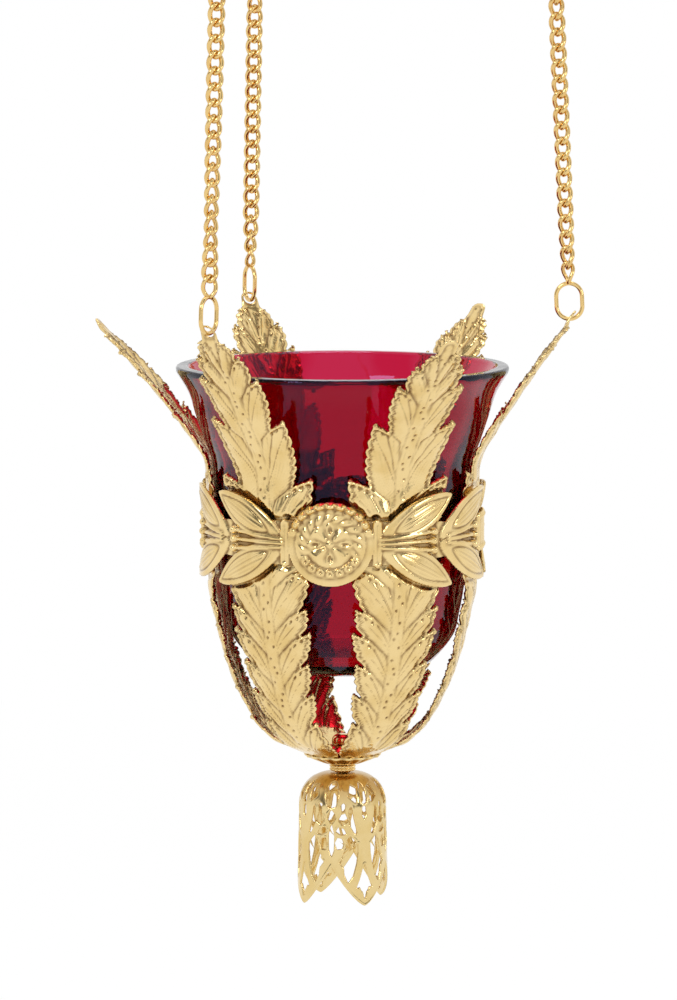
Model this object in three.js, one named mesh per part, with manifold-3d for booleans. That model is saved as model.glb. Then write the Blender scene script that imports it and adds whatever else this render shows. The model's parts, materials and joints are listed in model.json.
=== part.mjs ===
// Hanging vigil lamp: a glass cup in a basket of six stamped acanthus leaves, hung on three
// curb chains from a three-armed crown and one ring. Millimetres, +Z up. Heights are measured
// from the tips of the bell at the bottom; the whole lamp is then lowered, so that the origin
// is the inner top of the hanging ring, where the hook bears.
import * as THREE from "three";
import { mergeVertices } from "three/addons/utils/BufferGeometryUtils.js";
import Module from "manifold-3d";

const wasm = await Module();
wasm.setup();

const degree = Math.PI / 180;

// Sheet and clearances
const sheetThickness = 0.6;
const seatGap = 0.3; // left between pieces that seat on or hang in one another

// Leaves: six arms, every second one carries a chain
const leafCount = 6;
const firstLeafAzimuth = -5 * degree;
const leafNames = ["right", "rear_right", "rear_left", "left", "front_left", "front_right"];
const leafLength = 43.5; // upper leaf, from the waist to its tip
const chainLeafFlare = { atWaist: 31 * degree, atTip: 36 * degree };
const freeLeafFlare = { atWaist: 34 * degree, atTip: 45 * degree };
const leafHoleRadius = 1.5;
const leafHoleToTip = 2.1;
const wireBelowHole = 0.25; // from the hole's centre down the leaf to the ring's wire
const leafTipHalfWidth = 0.6;
const leafSideGap = 0.2; // half the gap between two neighbouring feet
const footInnerRadius = 2.4;
const footFlatness = 0.02; // least rise of the foot's normal that its bend is worked out from
// Lobes of the upper leaf: distance above the waist of each lobe's tip, its half width there,
// and the half width in the notch just above it
const upperLobes = [
  { at: -1.9, tip: 12.8, notch: 7.0 },
  { at: 14.1, tip: 10.4, notch: 5.0 },
  { at: 26.9, tip: 8.3, notch: 4.8 },
  { at: 33.9, tip: 6.0, notch: 4.2 },
];
// Lobes of the lower leaf: height above the foot, half width at the tip and in the notch above
const lowerLobes = [
  { at: 11.6, tip: 7.3, notch: 5.6 },
  { at: 19.0, tip: 8.8, notch: 6.6 },
  { at: 26.6, tip: 9.2, notch: 7.0 },
  { at: 34.4, tip: 10.9, notch: 8.2 },
  { at: 40.3, tip: 10.4, notch: 8.4 },
  { at: 46.0, tip: 11.9, notch: 10.0 },
];
const leafFootHalfWidth = 5.3;
const notchRise = 0.5; // how far a notch lies above the lobe's tip
const lobeRelief = 1.3; // of a lobe's curled upper edge, over the crease above it
const lobeMiddleRise = 0.45; // share of that relief halfway up a lobe
const lobeReliefAtMidrib = 0.3; // share of it that is left at the midrib
const midribRelief = 0.5;
const bandClearance = 0.4; // height above and below the band that stays flat
const reliefEase = 1.5; // height over which the relief then comes up
// Middle surface of the leaves' belly: steps in from the waist radius, and heights above the foot
const bellyOutline = [
  [18.9, 3.9],
  [12.9, 8.7],
  [6.2, 21.0],
  [2.0, 35.8],
  [0.5, 44.5],
];
const bellyStraight = 12; // height of the upright stretch below the waist
const leafBandHalfWidth = 9.6; // behind the band
const leafAboveBandHalfWidth = 10.8; // just above it
const lobeBulge = 0.6; // of a lobe's edge between its notch and its tip
const leafColumns = [-1, -0.5, -0.13, 0, 0.13, 0.5, 1]; // shares of the half width

// Glass cup: outer radii at heights above its foot
const glassFootRadius = 17;
const glassSeatRadius = 31.75; // where the cup rests in the leaves' waist
const glassSeatHeight = 50.9;
const glassFlare = 8.35; // from the seat radius out to the rim
const glassHeight = 73.6;
const glassWall = 3;
const glassFloor = 3.6;
// Outer outline of the body: steps in from the seat radius, and heights above the foot
const glassBodyOutline = [
  [10.85, 1.2],
  [7.15, 4.8],
  [4.55, 8.7],
  [3.55, 12.9],
  [1.75, 23.4],
  [0.75, 43.1],
];
// Outer outline of the flare: steps out from the seat radius, and heights above the seat
const glassFlareOutline = [
  [1.75, 4.9],
  [3.65, 10.5],
  [5.55, 16.4],
];
// The rounded rim: steps in from the outer wall and up from the flare's end, as shares of the wall
const glassRim = [
  [0.15, 0.36],
  [0.5, 0.5],
  [0.85, 0.36],
];
const glassAboveFoot = 22.5; // from the leaves' foot up to the glass's foot
const glassSegments = 32;
const glassInnerSteps = 9; // of the inner wall, from the rim down

// Band of two halves
const bandHeightAboveFoot = 56.6; // to the band's middle
const medallionRadius = 10.2;
const medallionRelief = 0.9;
const petalRelief = 0.5;
const medallionColumns = [0, 0.3, 0.55, 0.75, 0.9]; // shares of its radius
const bandRows = [-1, -0.5, 0, 0.5, 1]; // shares of the half height
// Half height of the band at angles from the medallion's centre, past the medallion
const bandOutline = [
  [20, 5.8],
  [29, 7.8],
  [38, 9.2],
  [47, 10.2],
  [53.5, 10.3],
  [55, 6.4],
  [62, 8.6],
  [72, 9.9],
  [82, 10.3],
];

// Centre stack, from the bottom up
const bellHeight = 31.6;
const bellRadius = 10.7;
const bellMouthRadius = 11.1;
const bellWall = 0.8;
const bellShoulder = 8.2; // from the bell's top down to its straight wall
const bellRoundness = 2.2; // power of the shoulder's curve: 2 is a quarter of an ellipse
const bellSteps = [0, 0.08, 0.35, 1]; // shares of the shoulder's depth
const bellSegments = 24;
const petalCount = 4;
const firstPetalAzimuth = 30 * degree;
const petalLength = 9.7;
const collarHeight = 1.4;
const collarRadius = 3.2;
const collarGroove = 0.25;
const dishRadius = 9.4;
const dishRise = 1.9;
const dishCurve = 1.4; // how the rise grows past the flat: its power
const dishFlatRadius = 3.6;
const dishThickness = 0.6;
const dishScallops = 12;
const dishScallopDepth = 0.5;
const dishRings = [0, 0.35, 0.7, 1]; // shares of the way from the flat to the rim
const rosetteRadius = 5.2;
const rosetteHeight = 2.8;
const rosetteEdge = 0.9; // height of its rim
const rosetteEdgeStep = 0.2; // how far the rim leans in
const rosetteShoulder = { radius: 0.72, height: 0.85 }; // shares of its radius and height
const rosetteFlutes = 10;
const rosetteFluteDepth = 1;
const boltRadius = 1.4;
const boltHeadRadius = 2.6;
const boltHeadHeight = 2.4;
const boltHeadWall = 0.5; // share of the head's height that is upright
const boltHeadBevel = { radius: 0.7, height: 0.88 }; // shares of the head's radius and height
const nutRadius = 3;
const nutHeight = 2.2;
const boltEnd = 1.4; // below the nut
const boreFacets = 12;

// Jump rings and chains
const ringWire = 1.1;
const ringHalfWidth = 3.2; // to the wire's centre, like the next size
const ringHalfLength = 4.3;
const linkWire = 1.0;
const linkHalfWidth = 1.6;
const linkHalfLength = 2.35;
const linkTwist = 45 * degree; // at each end of a link
const linkWeld = 0.12; // how far neighbouring links' wires sink into each other
const linkCount = 20;

// Crown and hanging ring
const crownEyeletRadius = 50.6;
const crownArmThickness = 1.4;
const crownHoleRadius = 1.6;
const crownEyeRim = 1.4;
const crownArmRise = 11; // from the eyelet's centre to the top of the arm's root
const crownArmRootHeight = 6.4;
const crownHubRadius = 6.5;
const crownTenon = 3; // how deep an arm's root sits in the hub
const crownHubCap = 2.4; // above the arms' roots
const crownHubCapStep = 1.6; // how far the cap's edge lies inside the hub's wall
const crownHubLip = 0.9; // of the hub's wall above and below the arms' roots
const crownFinial = 7; // below the arms' roots
// The drop under the hub: radii, and heights above its lowest point
const crownDrop = [
  [0, 0],
  [1.4, 0.8],
  [1.9, 2],
  [1.2, 3.2],
  [2.4, 4],
  [5.5, 5.4],
];
// Bends of an arm's lower and upper edge: shares of the eyelet's radius, and heights above the
// bottom and the top of its root
const crownArmUnder = { inner: 0.38, innerRise: 1.2, outer: 0.7, outerRise: 1 };
const crownArmOver = { inner: 0.42, innerRise: 1, outer: 0.8, outerRise: -2.4 };
const eyeWire = 1.6;
const eyeRadius = 3.5; // to the wire's centre
const eyeShankRadius = 1.5;
const eyeShankDepth = 7;
const eyeCollar = 1.2;
const eyeCollarStep = 1; // how far the collar stands out from the shank
const hangingRingWire = 2;
const hangingRingRadius = 9; // to the wire's centre

// Finishes
const stampedGold = { color: 0xdcbf78, roughness: 0.28, metalness: 1 };
const chainGold = { color: 0xd9a441, roughness: 0.2, metalness: 1 };
const rubyGlass = { color: 0x8f0a1e, roughness: 0.06, metalness: 0, transparent: true, opacity: 0.6 };

// Heights worked out from the bottom up
const collarBottom = bellHeight + seatGap;
const dishBottom = collarBottom + collarHeight + seatGap;
const footHeight = dishBottom + dishThickness + seatGap + sheetThickness / 2;
const rosetteBottom = footHeight + sheetThickness / 2 + seatGap;
const glassBottom = footHeight + glassAboveFoot;
const waistHeight = glassBottom + glassSeatHeight;
const bandMiddle = footHeight + bandHeightAboveFoot;

// Radii worked out from the glass outwards
const waistRadius = glassSeatRadius + seatGap + sheetThickness / 2;
const bandRadius = waistRadius + sheetThickness + seatGap;

// How far the band reaches above and below its middle, with room for the leaves' relief
const bandReach = Math.max(...bandOutline.map(([, half]) => half)) + bandClearance;

const wireStep = (ringWire + linkWire) / 2 + seatGap; // between the wires of a ring and its link

// Turns a geometry into a solid that can be joined and cut.
function solidOf(geometry) {
  const bare = geometry.clone();
  bare.deleteAttribute("normal");
  bare.deleteAttribute("uv");
  const merged = mergeVertices(bare, 1e-4);
  return new wasm.Manifold(
    new wasm.Mesh({
      numProp: 3,
      vertProperties: new Float32Array(merged.attributes.position.array),
      triVerts: new Uint32Array(merged.index.array),
    }),
  );
}

function geometryOf(solid) {
  const mesh = solid.getMesh();
  const geometry = new THREE.BufferGeometry();
  geometry.setAttribute("position", new THREE.BufferAttribute(mesh.vertProperties, 3));
  geometry.setIndex(new THREE.BufferAttribute(mesh.triVerts, 1));
  geometry.computeVertexNormals();
  return geometry;
}

// A closed skin from points and triangles given as index triples.
function skin(points, triangles) {
  const geometry = new THREE.BufferGeometry().setFromPoints(points);
  geometry.setIndex(triangles);
  geometry.computeVertexNormals();
  return geometry;
}

function quad(triangles, a, b, c, d) {
  triangles.push(a, b, c, a, c, d);
}

// A sheet between two matching grids of points: front faces out, back faces in, and a wall
// runs round the four edges.
function sheetGeometry(front, back) {
  const rows = front.length;
  const columns = front[0].length;
  const points = [...front.flat(), ...back.flat()];
  const at = (side, i, j) => side * rows * columns + i * columns + j;
  const triangles = [];
  for (let i = 0; i + 1 < rows; i++) {
    for (let j = 0; j + 1 < columns; j++) {
      quad(triangles, at(0, i, j), at(0, i, j + 1), at(0, i + 1, j + 1), at(0, i + 1, j));
      quad(triangles, at(1, i, j), at(1, i + 1, j), at(1, i + 1, j + 1), at(1, i, j + 1));
    }
    quad(triangles, at(0, i, 0), at(0, i + 1, 0), at(1, i + 1, 0), at(1, i, 0));
    const last = columns - 1;
    quad(triangles, at(0, i, last), at(1, i, last), at(1, i + 1, last), at(0, i + 1, last));
  }
  for (let j = 0; j + 1 < columns; j++) {
    quad(triangles, at(0, 0, j), at(1, 0, j), at(1, 0, j + 1), at(0, 0, j + 1));
    const last = rows - 1;
    quad(triangles, at(0, last, j), at(0, last, j + 1), at(1, last, j + 1), at(1, last, j));
  }
  return skin(points, triangles);
}

// A closed wire loop in the XZ plane: an oval of two half circles and two straights, swept by
// a round section. The loop is centred on the origin and stands along Z.
function ovalLoop(halfWidth, halfLength, wire, steps, sides) {
  const straight = halfLength - halfWidth;
  const points = [];
  for (let i = 0; i < steps; i++) {
    const turn = (i / steps) * 2 * Math.PI;
    const outward = new THREE.Vector3(Math.cos(turn), 0, Math.sin(turn));
    const middle = outward.clone().multiplyScalar(halfWidth);
    middle.z += straight * Math.sign(Math.round(Math.sin(turn) * 1e6));
    for (let j = 0; j < sides; j++) {
      const round = (j / sides) * 2 * Math.PI;
      const point = middle.clone().addScaledVector(outward, (-wire / 2) * Math.cos(round));
      point.y = (wire / 2) * Math.sin(round);
      points.push(point);
    }
  }
  const triangles = [];
  for (let i = 0; i < steps; i++) {
    const next = (i + 1) % steps;
    for (let j = 0; j < sides; j++) {
      const side = (j + 1) % sides;
      quad(triangles, i * sides + j, next * sides + j, next * sides + side, i * sides + side);
    }
  }
  return skin(points, triangles);
}

// A lathe turned about Z instead of Y.
function turned(profile, segments) {
  const points = profile.map(([radius, height]) => new THREE.Vector2(radius, height));
  return new THREE.LatheGeometry(points, segments).rotateX(Math.PI / 2);
}

function cylinder(radius, bottom, top, segments) {
  return new THREE.CylinderGeometry(radius, radius, top - bottom, segments)
    .rotateX(Math.PI / 2)
    .translate(0, 0, (bottom + top) / 2);
}

function mesh(name, geometry, finish) {
  const made = new THREE.Mesh(geometry, new THREE.MeshStandardMaterial(finish));
  made.name = name;
  return made;
}

// How far the dish under the feet, and all that lies on it, has risen at a radius.
function dishRiseAt(radius) {
  const share = Math.max(0, (radius - dishFlatRadius) / (dishRadius - dishFlatRadius));
  return dishRise * Math.pow(share, dishCurve);
}

// The middle line of a leaf below the waist, from its foot up, in the XZ plane.
const dishMiddle = (dishFlatRadius + dishRadius) / 2;
const belly = new THREE.CatmullRomCurve3(
  [
    [footInnerRadius, 0],
    [dishFlatRadius, 0],
    [dishMiddle, dishRiseAt(dishMiddle)],
    [dishRadius, dishRise],
    ...bellyOutline.map(([step, height]) => [waistRadius - step, height]),
    [waistRadius, waistHeight - footHeight - bellyStraight],
    [waistRadius, waistHeight - footHeight],
  ].map(([radius, height]) => new THREE.Vector3(radius, 0, footHeight + height)),
  false,
  "centripetal",
);
belly.arcLengthDivisions = 400;
const bellyLength = belly.getLength();

// The length along the belly at which it reaches a value of one coordinate.
function bellyLengthAt(axis, value) {
  let [low, high] = [0, 1];
  for (let i = 0; i < 40; i++) {
    const middle = (low + high) / 2;
    if (belly.getPointAt(middle)[axis] < value) low = middle;
    else high = middle;
  }
  return low * bellyLength;
}

// The point and the slope of a leaf's middle line: the slope is its angle from upright.
function leafLine(flare, along) {
  if (along < bellyLength) {
    const share = Math.max(0, along / bellyLength);
    const tangent = belly.getTangentAt(share);
    return { point: belly.getPointAt(share), slope: Math.atan2(tangent.x, tangent.z) };
  }
  const { atWaist, atTip } = flare;
  const slope = atWaist + ((atTip - atWaist) * (along - bellyLength)) / leafLength;
  const bend = leafLength / (atTip - atWaist);
  const point = new THREE.Vector3(
    waistRadius + bend * (Math.cos(atWaist) - Math.cos(slope)),
    0,
    waistHeight + bend * (Math.sin(slope) - Math.sin(atWaist)),
  );
  return { point, slope };
}

// Rows of the leaf from its foot to its tip: length along it, half width, and share of the
// lobes' relief.
function leafOutline() {
  const lobes = [
    ...lowerLobes.map((lobe) => ({ ...lobe, along: bellyLengthAt("z", footHeight + lobe.at) })),
    {
      along: bellyLengthAt("z", bandMiddle),
      tip: leafBandHalfWidth,
      notch: leafBandHalfWidth,
    },
    {
      along: bellyLengthAt("z", bandMiddle + bandReach),
      tip: leafAboveBandHalfWidth,
      notch: leafAboveBandHalfWidth,
    },
    ...upperLobes.map((lobe) => ({ ...lobe, along: bellyLength + lobe.at })),
  ];
  const outline = [
    [0, leafFootHalfWidth, 0],
    ...[dishFlatRadius, dishMiddle, dishRadius].map((r) => [bellyLengthAt("x", r), leafFootHalfWidth, 0]),
  ];
  for (const lobe of lobes) {
    const [before, half] = outline.at(-1);
    outline.push([(before + lobe.along) / 2, (half + lobe.tip) / 2 + lobeBulge, lobeMiddleRise]);
    outline.push([lobe.along, lobe.tip, 1], [lobe.along + notchRise, lobe.notch, 0]);
  }
  const tip = bellyLength + leafLength;
  const eye = leafHoleRadius + sheetThickness;
  outline.push([tip - leafHoleToTip - eye, eye + leafTipHalfWidth, 0], [tip - leafHoleToTip, eye, 0]);
  outline.push([tip - leafHoleToTip / 2, (eye + leafTipHalfWidth) / 2 + leafTipHalfWidth / 2, 0]);
  outline.push([tip, leafTipHalfWidth, 0]);
  return outline;
}

// How much of the relief a row of the leaf has: none on the dish, behind the band or at the tip.
function reliefShare(along, height) {
  const lengthLeft = bellyLength + leafLength - 2 * (leafHoleToTip + leafHoleRadius) - along;
  const clear = Math.abs(height - bandMiddle) - bandReach;
  const past = Math.min(clear, along - bellyLengthAt("x", dishRadius), lengthLeft);
  return Math.min(Math.max(past / reliefEase, 0), 1);
}

// One stamped leaf: a sheet that follows the round of the basket across its width.
function leafGeometry(flare, withHole) {
  const front = [];
  const back = [];
  for (const [along, half, rise] of leafOutline()) {
    const { point, slope } = leafLine(flare, along);
    const normal = new THREE.Vector3(Math.cos(slope), 0, -Math.sin(slope));
    const below = along < bellyLength;
    const round = below ? point.x / Math.max(normal.x, footFlatness) : waistRadius;
    const sector = point.x * Math.tan(Math.PI / leafCount) - leafSideGap / Math.cos(Math.PI / leafCount);
    const reach = Math.min(half, sector);
    const relief = reliefShare(along, point.z);
    const rows = leafColumns.map((share) => {
      const turn = (share * reach) / round;
      const middle = point.clone().addScaledVector(normal, -round * (1 - Math.cos(turn)));
      middle.y = round * Math.sin(turn);
      const out = normal.clone().multiplyScalar(Math.cos(turn));
      out.y = Math.sin(turn);
      const across = lobeReliefAtMidrib + (1 - lobeReliefAtMidrib) * Math.abs(share);
      const pressed = relief * lobeRelief * rise * across;
      const rib = share === 0 ? relief * midribRelief : 0;
      return [
        middle.clone().addScaledVector(out, pressed + rib + sheetThickness / 2),
        middle.clone().addScaledVector(out, pressed - sheetThickness / 2),
      ];
    });
    front.push(rows.map((pair) => pair[0]));
    back.push(rows.map((pair) => pair[1]));
  }
  const sheet = sheetGeometry(front, back);
  if (!withHole) return sheet;
  const { point, slope } = leafHole(flare);
  const drill = cylinder(leafHoleRadius, -2 * sheetThickness, 2 * sheetThickness, boreFacets)
    .rotateY(Math.PI / 2 + slope)
    .translate(point.x, 0, point.z);
  return geometryOf(solidOf(sheet).subtract(solidOf(drill)));
}

function leafHole(flare) {
  return leafLine(flare, bellyLength + leafLength - leafHoleToTip);
}

// Half height of the band at an angle in degrees from its medallion.
function bandHalfHeight(angle) {
  const across = bandRadius * angle * degree;
  if (across < medallionRadius) {
    const circle = Math.sqrt(medallionRadius ** 2 - across ** 2);
    if (circle > bandOutline[0][1]) return circle;
  }
  const after = bandOutline.findIndex(([at]) => at > angle);
  if (after === 0) return bandOutline[0][1];
  if (after < 0) return bandOutline.at(-1)[1];
  const [[fromAngle, from], [toAngle, to]] = [bandOutline[after - 1], bandOutline[after]];
  return from + ((to - from) * (angle - fromAngle)) / (toAngle - fromAngle);
}

// Half of the band, with its medallion in the middle, facing +X.
function bandGeometry() {
  const end = 90 - seatGap / 2 / bandRadius / degree;
  const medallion = medallionRadius / bandRadius / degree;
  const half = medallionColumns.map((share) => share * medallion);
  half.push(...bandOutline.map(([angle]) => angle), end);
  const angles = [...half.slice(1).reverse().map((angle) => -angle), ...half];
  const side = (thickness) =>
    angles.map((angle) =>
      bandRows.map((level) => {
        const onMedallion = Math.abs(angle) < medallion;
        const rise = Math.abs(level) === 1 ? 0 : onMedallion ? medallionRelief : petalRelief;
        const radius = bandRadius + thickness + (thickness > 0 ? rise : 0);
        const height = bandMiddle + level * bandHalfHeight(Math.abs(angle));
        const turn = angle * degree;
        return new THREE.Vector3(radius * Math.cos(turn), radius * Math.sin(turn), height);
      }),
    );
  // Seen from outside the angle grows to the right, so the rows run the other way round.
  return sheetGeometry(side(sheetThickness / 2).reverse(), side(-sheetThickness / 2).reverse());
}

// The cup: the outer outline from the foot to the rim, the rounded rim, then the inner wall.
function glassGeometry() {
  const outline = [
    [glassFootRadius, 0],
    ...glassBodyOutline.map(([step, height]) => [glassSeatRadius - step, height]),
    [glassSeatRadius, glassSeatHeight],
    ...glassFlareOutline.map(([step, height]) => [glassSeatRadius + step, glassSeatHeight + height]),
    [glassSeatRadius + glassFlare, glassHeight - glassWall / 2],
  ].map(([radius, height]) => new THREE.Vector3(radius, 0, height));
  const curve = new THREE.CatmullRomCurve3(outline, false, "centripetal");
  const outer = outline.map((point) => [point.x, point.z]);
  const inner = [];
  for (let i = glassInnerSteps - 1; i >= 0; i--) {
    const share = i / glassInnerSteps;
    const point = curve.getPointAt(share);
    const tangent = curve.getTangentAt(share);
    const height = Math.max(point.z + glassWall * tangent.x, glassFloor);
    inner.push([point.x - glassWall * tangent.z, height]);
  }
  const [topRadius, topHeight] = outer.at(-1);
  const rim = glassRim.map(([step, rise]) => [topRadius - glassWall * step, topHeight + glassWall * rise]);
  const floorRadius = inner.at(-1)[0];
  const wall = inner.filter(([radius, height]) => height > glassFloor && radius > floorRadius);
  const profile = [[0, 0], ...outer, ...rim, ...wall, [floorRadius, glassFloor], [0, glassFloor]];
  return turned(profile, glassSegments).translate(0, 0, glassBottom);
}

// A thin round piece whose rim waves in and out.
function scalloped(profile, waves, depth, segments) {
  const geometry = turned(profile, segments);
  const position = geometry.attributes.position;
  const rim = Math.max(...profile.map(([radius]) => radius));
  for (let i = 0; i < position.count; i++) {
    const [x, y] = [position.getX(i), position.getY(i)];
    const radius = Math.hypot(x, y);
    if (radius < dishFlatRadius) continue;
    const share = (radius - dishFlatRadius) / (rim - dishFlatRadius);
    const wave = 1 - (depth * share * (1 - Math.cos(waves * Math.atan2(y, x)))) / 2 / radius;
    position.setXY(i, x * wave, y * wave);
  }
  return geometry;
}

function dishGeometry() {
  const radii = dishRings.map((share) => dishFlatRadius + share * (dishRadius - dishFlatRadius));
  const bore = boltRadius + seatGap;
  const under = radii.map((radius) => [radius, dishBottom + dishRiseAt(radius)]);
  const over = under.map(([radius, height]) => [radius, height + dishThickness]).reverse();
  const flat = [bore, dishBottom];
  const profile = [flat, ...under, ...over, [bore, dishBottom + dishThickness], flat];
  return scalloped(profile, dishScallops, dishScallopDepth, 2 * dishScallops);
}

function rosetteGeometry() {
  const bore = boltRadius + seatGap;
  const edge = rosetteBottom + dishRiseAt(rosetteRadius) + seatGap;
  const profile = [
    [bore, rosetteBottom],
    [dishFlatRadius, rosetteBottom],
    [rosetteRadius, edge],
    [rosetteRadius - rosetteEdgeStep, edge + rosetteEdge],
    [rosetteRadius * rosetteShoulder.radius, rosetteBottom + rosetteHeight * rosetteShoulder.height],
    [boltHeadRadius, rosetteBottom + rosetteHeight],
    [bore, rosetteBottom + rosetteHeight],
    [bore, rosetteBottom],
  ];
  return scalloped(profile, rosetteFlutes, rosetteFluteDepth, 2 * rosetteFlutes);
}

function collarGeometry() {
  const bore = boltRadius + seatGap;
  const profile = [
    [bore, 0],
    [collarRadius - collarGroove, 0],
    [collarRadius, collarHeight * 0.25],
    [collarRadius - collarGroove, collarHeight * 0.5],
    [collarRadius, collarHeight * 0.75],
    [collarRadius - collarGroove, collarHeight],
    [bore, collarHeight],
    [bore, 0],
  ];
  return turned(profile, bellSegments).translate(0, 0, collarBottom);
}

// Outer radius of the bell at a depth below its top.
function bellRadiusAt(depth) {
  if (depth < bellShoulder) {
    const rise = 1 - depth / bellShoulder;
    return collarRadius + (bellRadius - collarRadius) * Math.sqrt(1 - rise ** bellRoundness);
  }
  const share = (depth - bellShoulder) / (bellHeight - bellShoulder);
  return bellRadius + (bellMouthRadius - bellRadius) * share;
}

// A prism that cuts through the bell's wall from inside to outside, at an azimuth.
function wallCutter(outline, azimuth) {
  const shape = new THREE.Shape(outline.map(([across, height]) => new THREE.Vector2(across, height)));
  return new THREE.ExtrudeGeometry(shape, { depth: bellMouthRadius, bevelEnabled: false, steps: 1 })
    .rotateX(Math.PI / 2)
    .rotateZ(Math.PI / 2)
    .translate(bellRadius / 2, 0, 0)
    .rotateZ(azimuth);
}

// A pointed window: its lowest and highest point, its half width, and how far its head leans
// to the side. It is widest at its shoulder, a share of its height above its lowest point.
const windowShoulder = 0.4;
function lancet(low, high, half, lean = 0) {
  const shoulder = low + windowShoulder * (high - low);
  return [
    [0, low],
    [half + lean * windowShoulder, shoulder],
    [lean, high],
    [-half + lean * windowShoulder, shoulder],
  ];
}

// The windows of one petal: each has its turn from the petal's middle, in degrees, and its
// outline. One off the middle is there on both sides, and the turn between two petals is shared.
const betweenPetals = 180 / petalCount;
const spade = [
  [0, 1.9],
  [1.8, 4.1],
  [0.5, 7.4],
  [0, 9.6],
  [-0.5, 7.4],
  [-1.8, 4.1],
];
const petalWindows = [
  { turn: 0, outline: spade },
  { turn: 0, outline: lancet(12.4, 17.6, 0.9) },
  { turn: 0, outline: lancet(19.6, 25.8, 1.1) },
  { turn: 23, outline: lancet(7.2, 15.6, 1.2, -0.8) },
  { turn: 22, outline: lancet(17.2, 22.6, 1.1, 0.5) },
  { turn: betweenPetals, outline: lancet(11.6, 18.6, 0.8) },
  { turn: betweenPetals, outline: lancet(21.2, 28.6, 1.2) },
];
const notchEdge = [0.43, 0.46]; // shares of the notch's half width and height at its bulge
const petalTipHalfWidth = 0.3;

// The bell: a turned shell, cut into pointed petals and pierced with windows.
function bellGeometry() {
  const depths = bellSteps.map((share) => share * bellShoulder);
  const outer = [...depths, bellHeight].map((depth) => [bellRadiusAt(depth), bellHeight - depth]);
  const inner = outer.map(([radius, height], i) => [
    radius - bellWall,
    Math.min(height - bellWall * (1 - i / (outer.length - 1)), bellHeight - bellWall),
  ]);
  const bore = boltRadius + seatGap;
  inner[0] = [collarRadius - bellWall, bellHeight - bellWall];
  const profile = [
    [bore, bellHeight],
    ...outer,
    ...inner.reverse(),
    [bore, bellHeight - bellWall],
    [bore, bellHeight],
  ];
  let bell = solidOf(turned(profile.reverse(), bellSegments));
  const sector = Math.PI / petalCount;
  const across = bellMouthRadius * Math.sin(sector) - petalTipHalfWidth;
  const below = -petalLength / 4;
  for (let i = 0; i < petalCount; i++) {
    const azimuth = firstPetalAzimuth + 2 * i * sector;
    const notch = [
      [0, petalLength],
      [-across * notchEdge[0], petalLength * notchEdge[1]],
      [-across, 0],
      [-across, below],
      [across, below],
      [across, 0],
      [across * notchEdge[0], petalLength * notchEdge[1]],
    ];
    bell = bell.subtract(solidOf(wallCutter(notch, azimuth + sector)));
    for (const { turn, outline } of petalWindows) {
      const sides = turn === 0 || turn === betweenPetals ? [1] : [1, -1];
      for (const side of sides) {
        const sided = outline.map(([x, height]) => [x * side, height]);
        bell = bell.subtract(solidOf(wallCutter(sided, azimuth + side * turn * degree)));
      }
    }
  }
  return geometryOf(bell);
}

function boltGeometry() {
  const top = rosetteBottom + rosetteHeight + seatGap;
  const nutBottom = bellHeight - bellWall - seatGap - nutHeight;
  const profile = [
    [0, nutBottom - boltEnd],
    [boltRadius, nutBottom - boltEnd],
    [boltRadius, top],
    [boltHeadRadius, top],
    [boltHeadRadius, top + boltHeadHeight * boltHeadWall],
    [boltHeadRadius * boltHeadBevel.radius, top + boltHeadHeight * boltHeadBevel.height],
    [0, top + boltHeadHeight],
  ];
  return turned(profile, boreFacets);
}

function nutGeometry() {
  const top = bellHeight - bellWall - seatGap;
  const hexagon = solidOf(cylinder(nutRadius, top - nutHeight, top, 6));
  const drill = cylinder(boltRadius + seatGap, top - 2 * nutHeight, top + nutHeight, boreFacets);
  return geometryOf(hexagon.subtract(solidOf(drill)));
}

// One curb link: an oval loop twisted about its length.
function linkGeometry() {
  const link = ovalLoop(linkHalfWidth, linkHalfLength, linkWire, 8, 4);
  const position = link.attributes.position;
  for (let i = 0; i < position.count; i++) {
    const turn = (linkTwist * position.getZ(i)) / linkHalfLength;
    const [x, y] = [position.getX(i), position.getY(i)];
    const [cosine, sine] = [Math.cos(turn), Math.sin(turn)];
    position.setXY(i, x * cosine - y * sine, x * sine + y * cosine);
  }
  return link;
}

// A chain from its first link's lower wire up, along Z: the lowest wire lies in the YZ plane
// and the highest in the XZ plane.
const linkPitch = 2 * linkHalfLength - linkWire + linkWeld;
function chainGeometry() {
  const link = linkGeometry().rotateZ(Math.PI / 2 + linkTwist);
  let chain = solidOf(link.clone().translate(0, 0, linkHalfLength));
  for (let i = 1; i < linkCount; i++) {
    chain = chain.add(solidOf(link.clone().translate(0, 0, linkHalfLength + i * linkPitch)));
  }
  return geometryOf(chain);
}

// Heights along a chain's line, from the lower ring's lowest wire
const chainBottom = 2 * ringHalfLength - wireStep;
const chainTop = chainBottom + 2 * linkHalfLength + (linkCount - 1) * linkPitch;
const topRingBottom = chainTop - wireStep;
const suspensionLength = topRingBottom + 2 * ringHalfLength;

const chainHole = leafLine(
  chainLeafFlare,
  bellyLength + leafLength - leafHoleToTip - wireBelowHole,
).point;
const chainLean = Math.asin((chainHole.x - crownEyeletRadius) / suspensionLength);
const crownEyeletHeight = chainHole.z + suspensionLength * Math.cos(chainLean);

// A chain with its two rings, hung on one leaf.
function suspension(side, azimuth) {
  const turn = new THREE.Group();
  turn.rotation.z = azimuth;
  const line = new THREE.Group();
  line.position.copy(chainHole);
  line.rotation.y = -chainLean;
  turn.add(line);
  const ring = ovalLoop(ringHalfWidth, ringHalfLength, ringWire, 12, 6);
  const lower = mesh("lower_ring_" + side, ring, chainGold);
  lower.position.z = ringHalfLength;
  const chain = mesh("chain_" + side, chainGeometry(), chainGold);
  chain.position.z = chainBottom;
  const upper = mesh("top_ring_" + side, ring.clone().rotateZ(Math.PI / 2), chainGold);
  upper.position.z = topRingBottom + ringHalfLength;
  line.add(lower, chain, upper);
  return turn;
}

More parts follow.
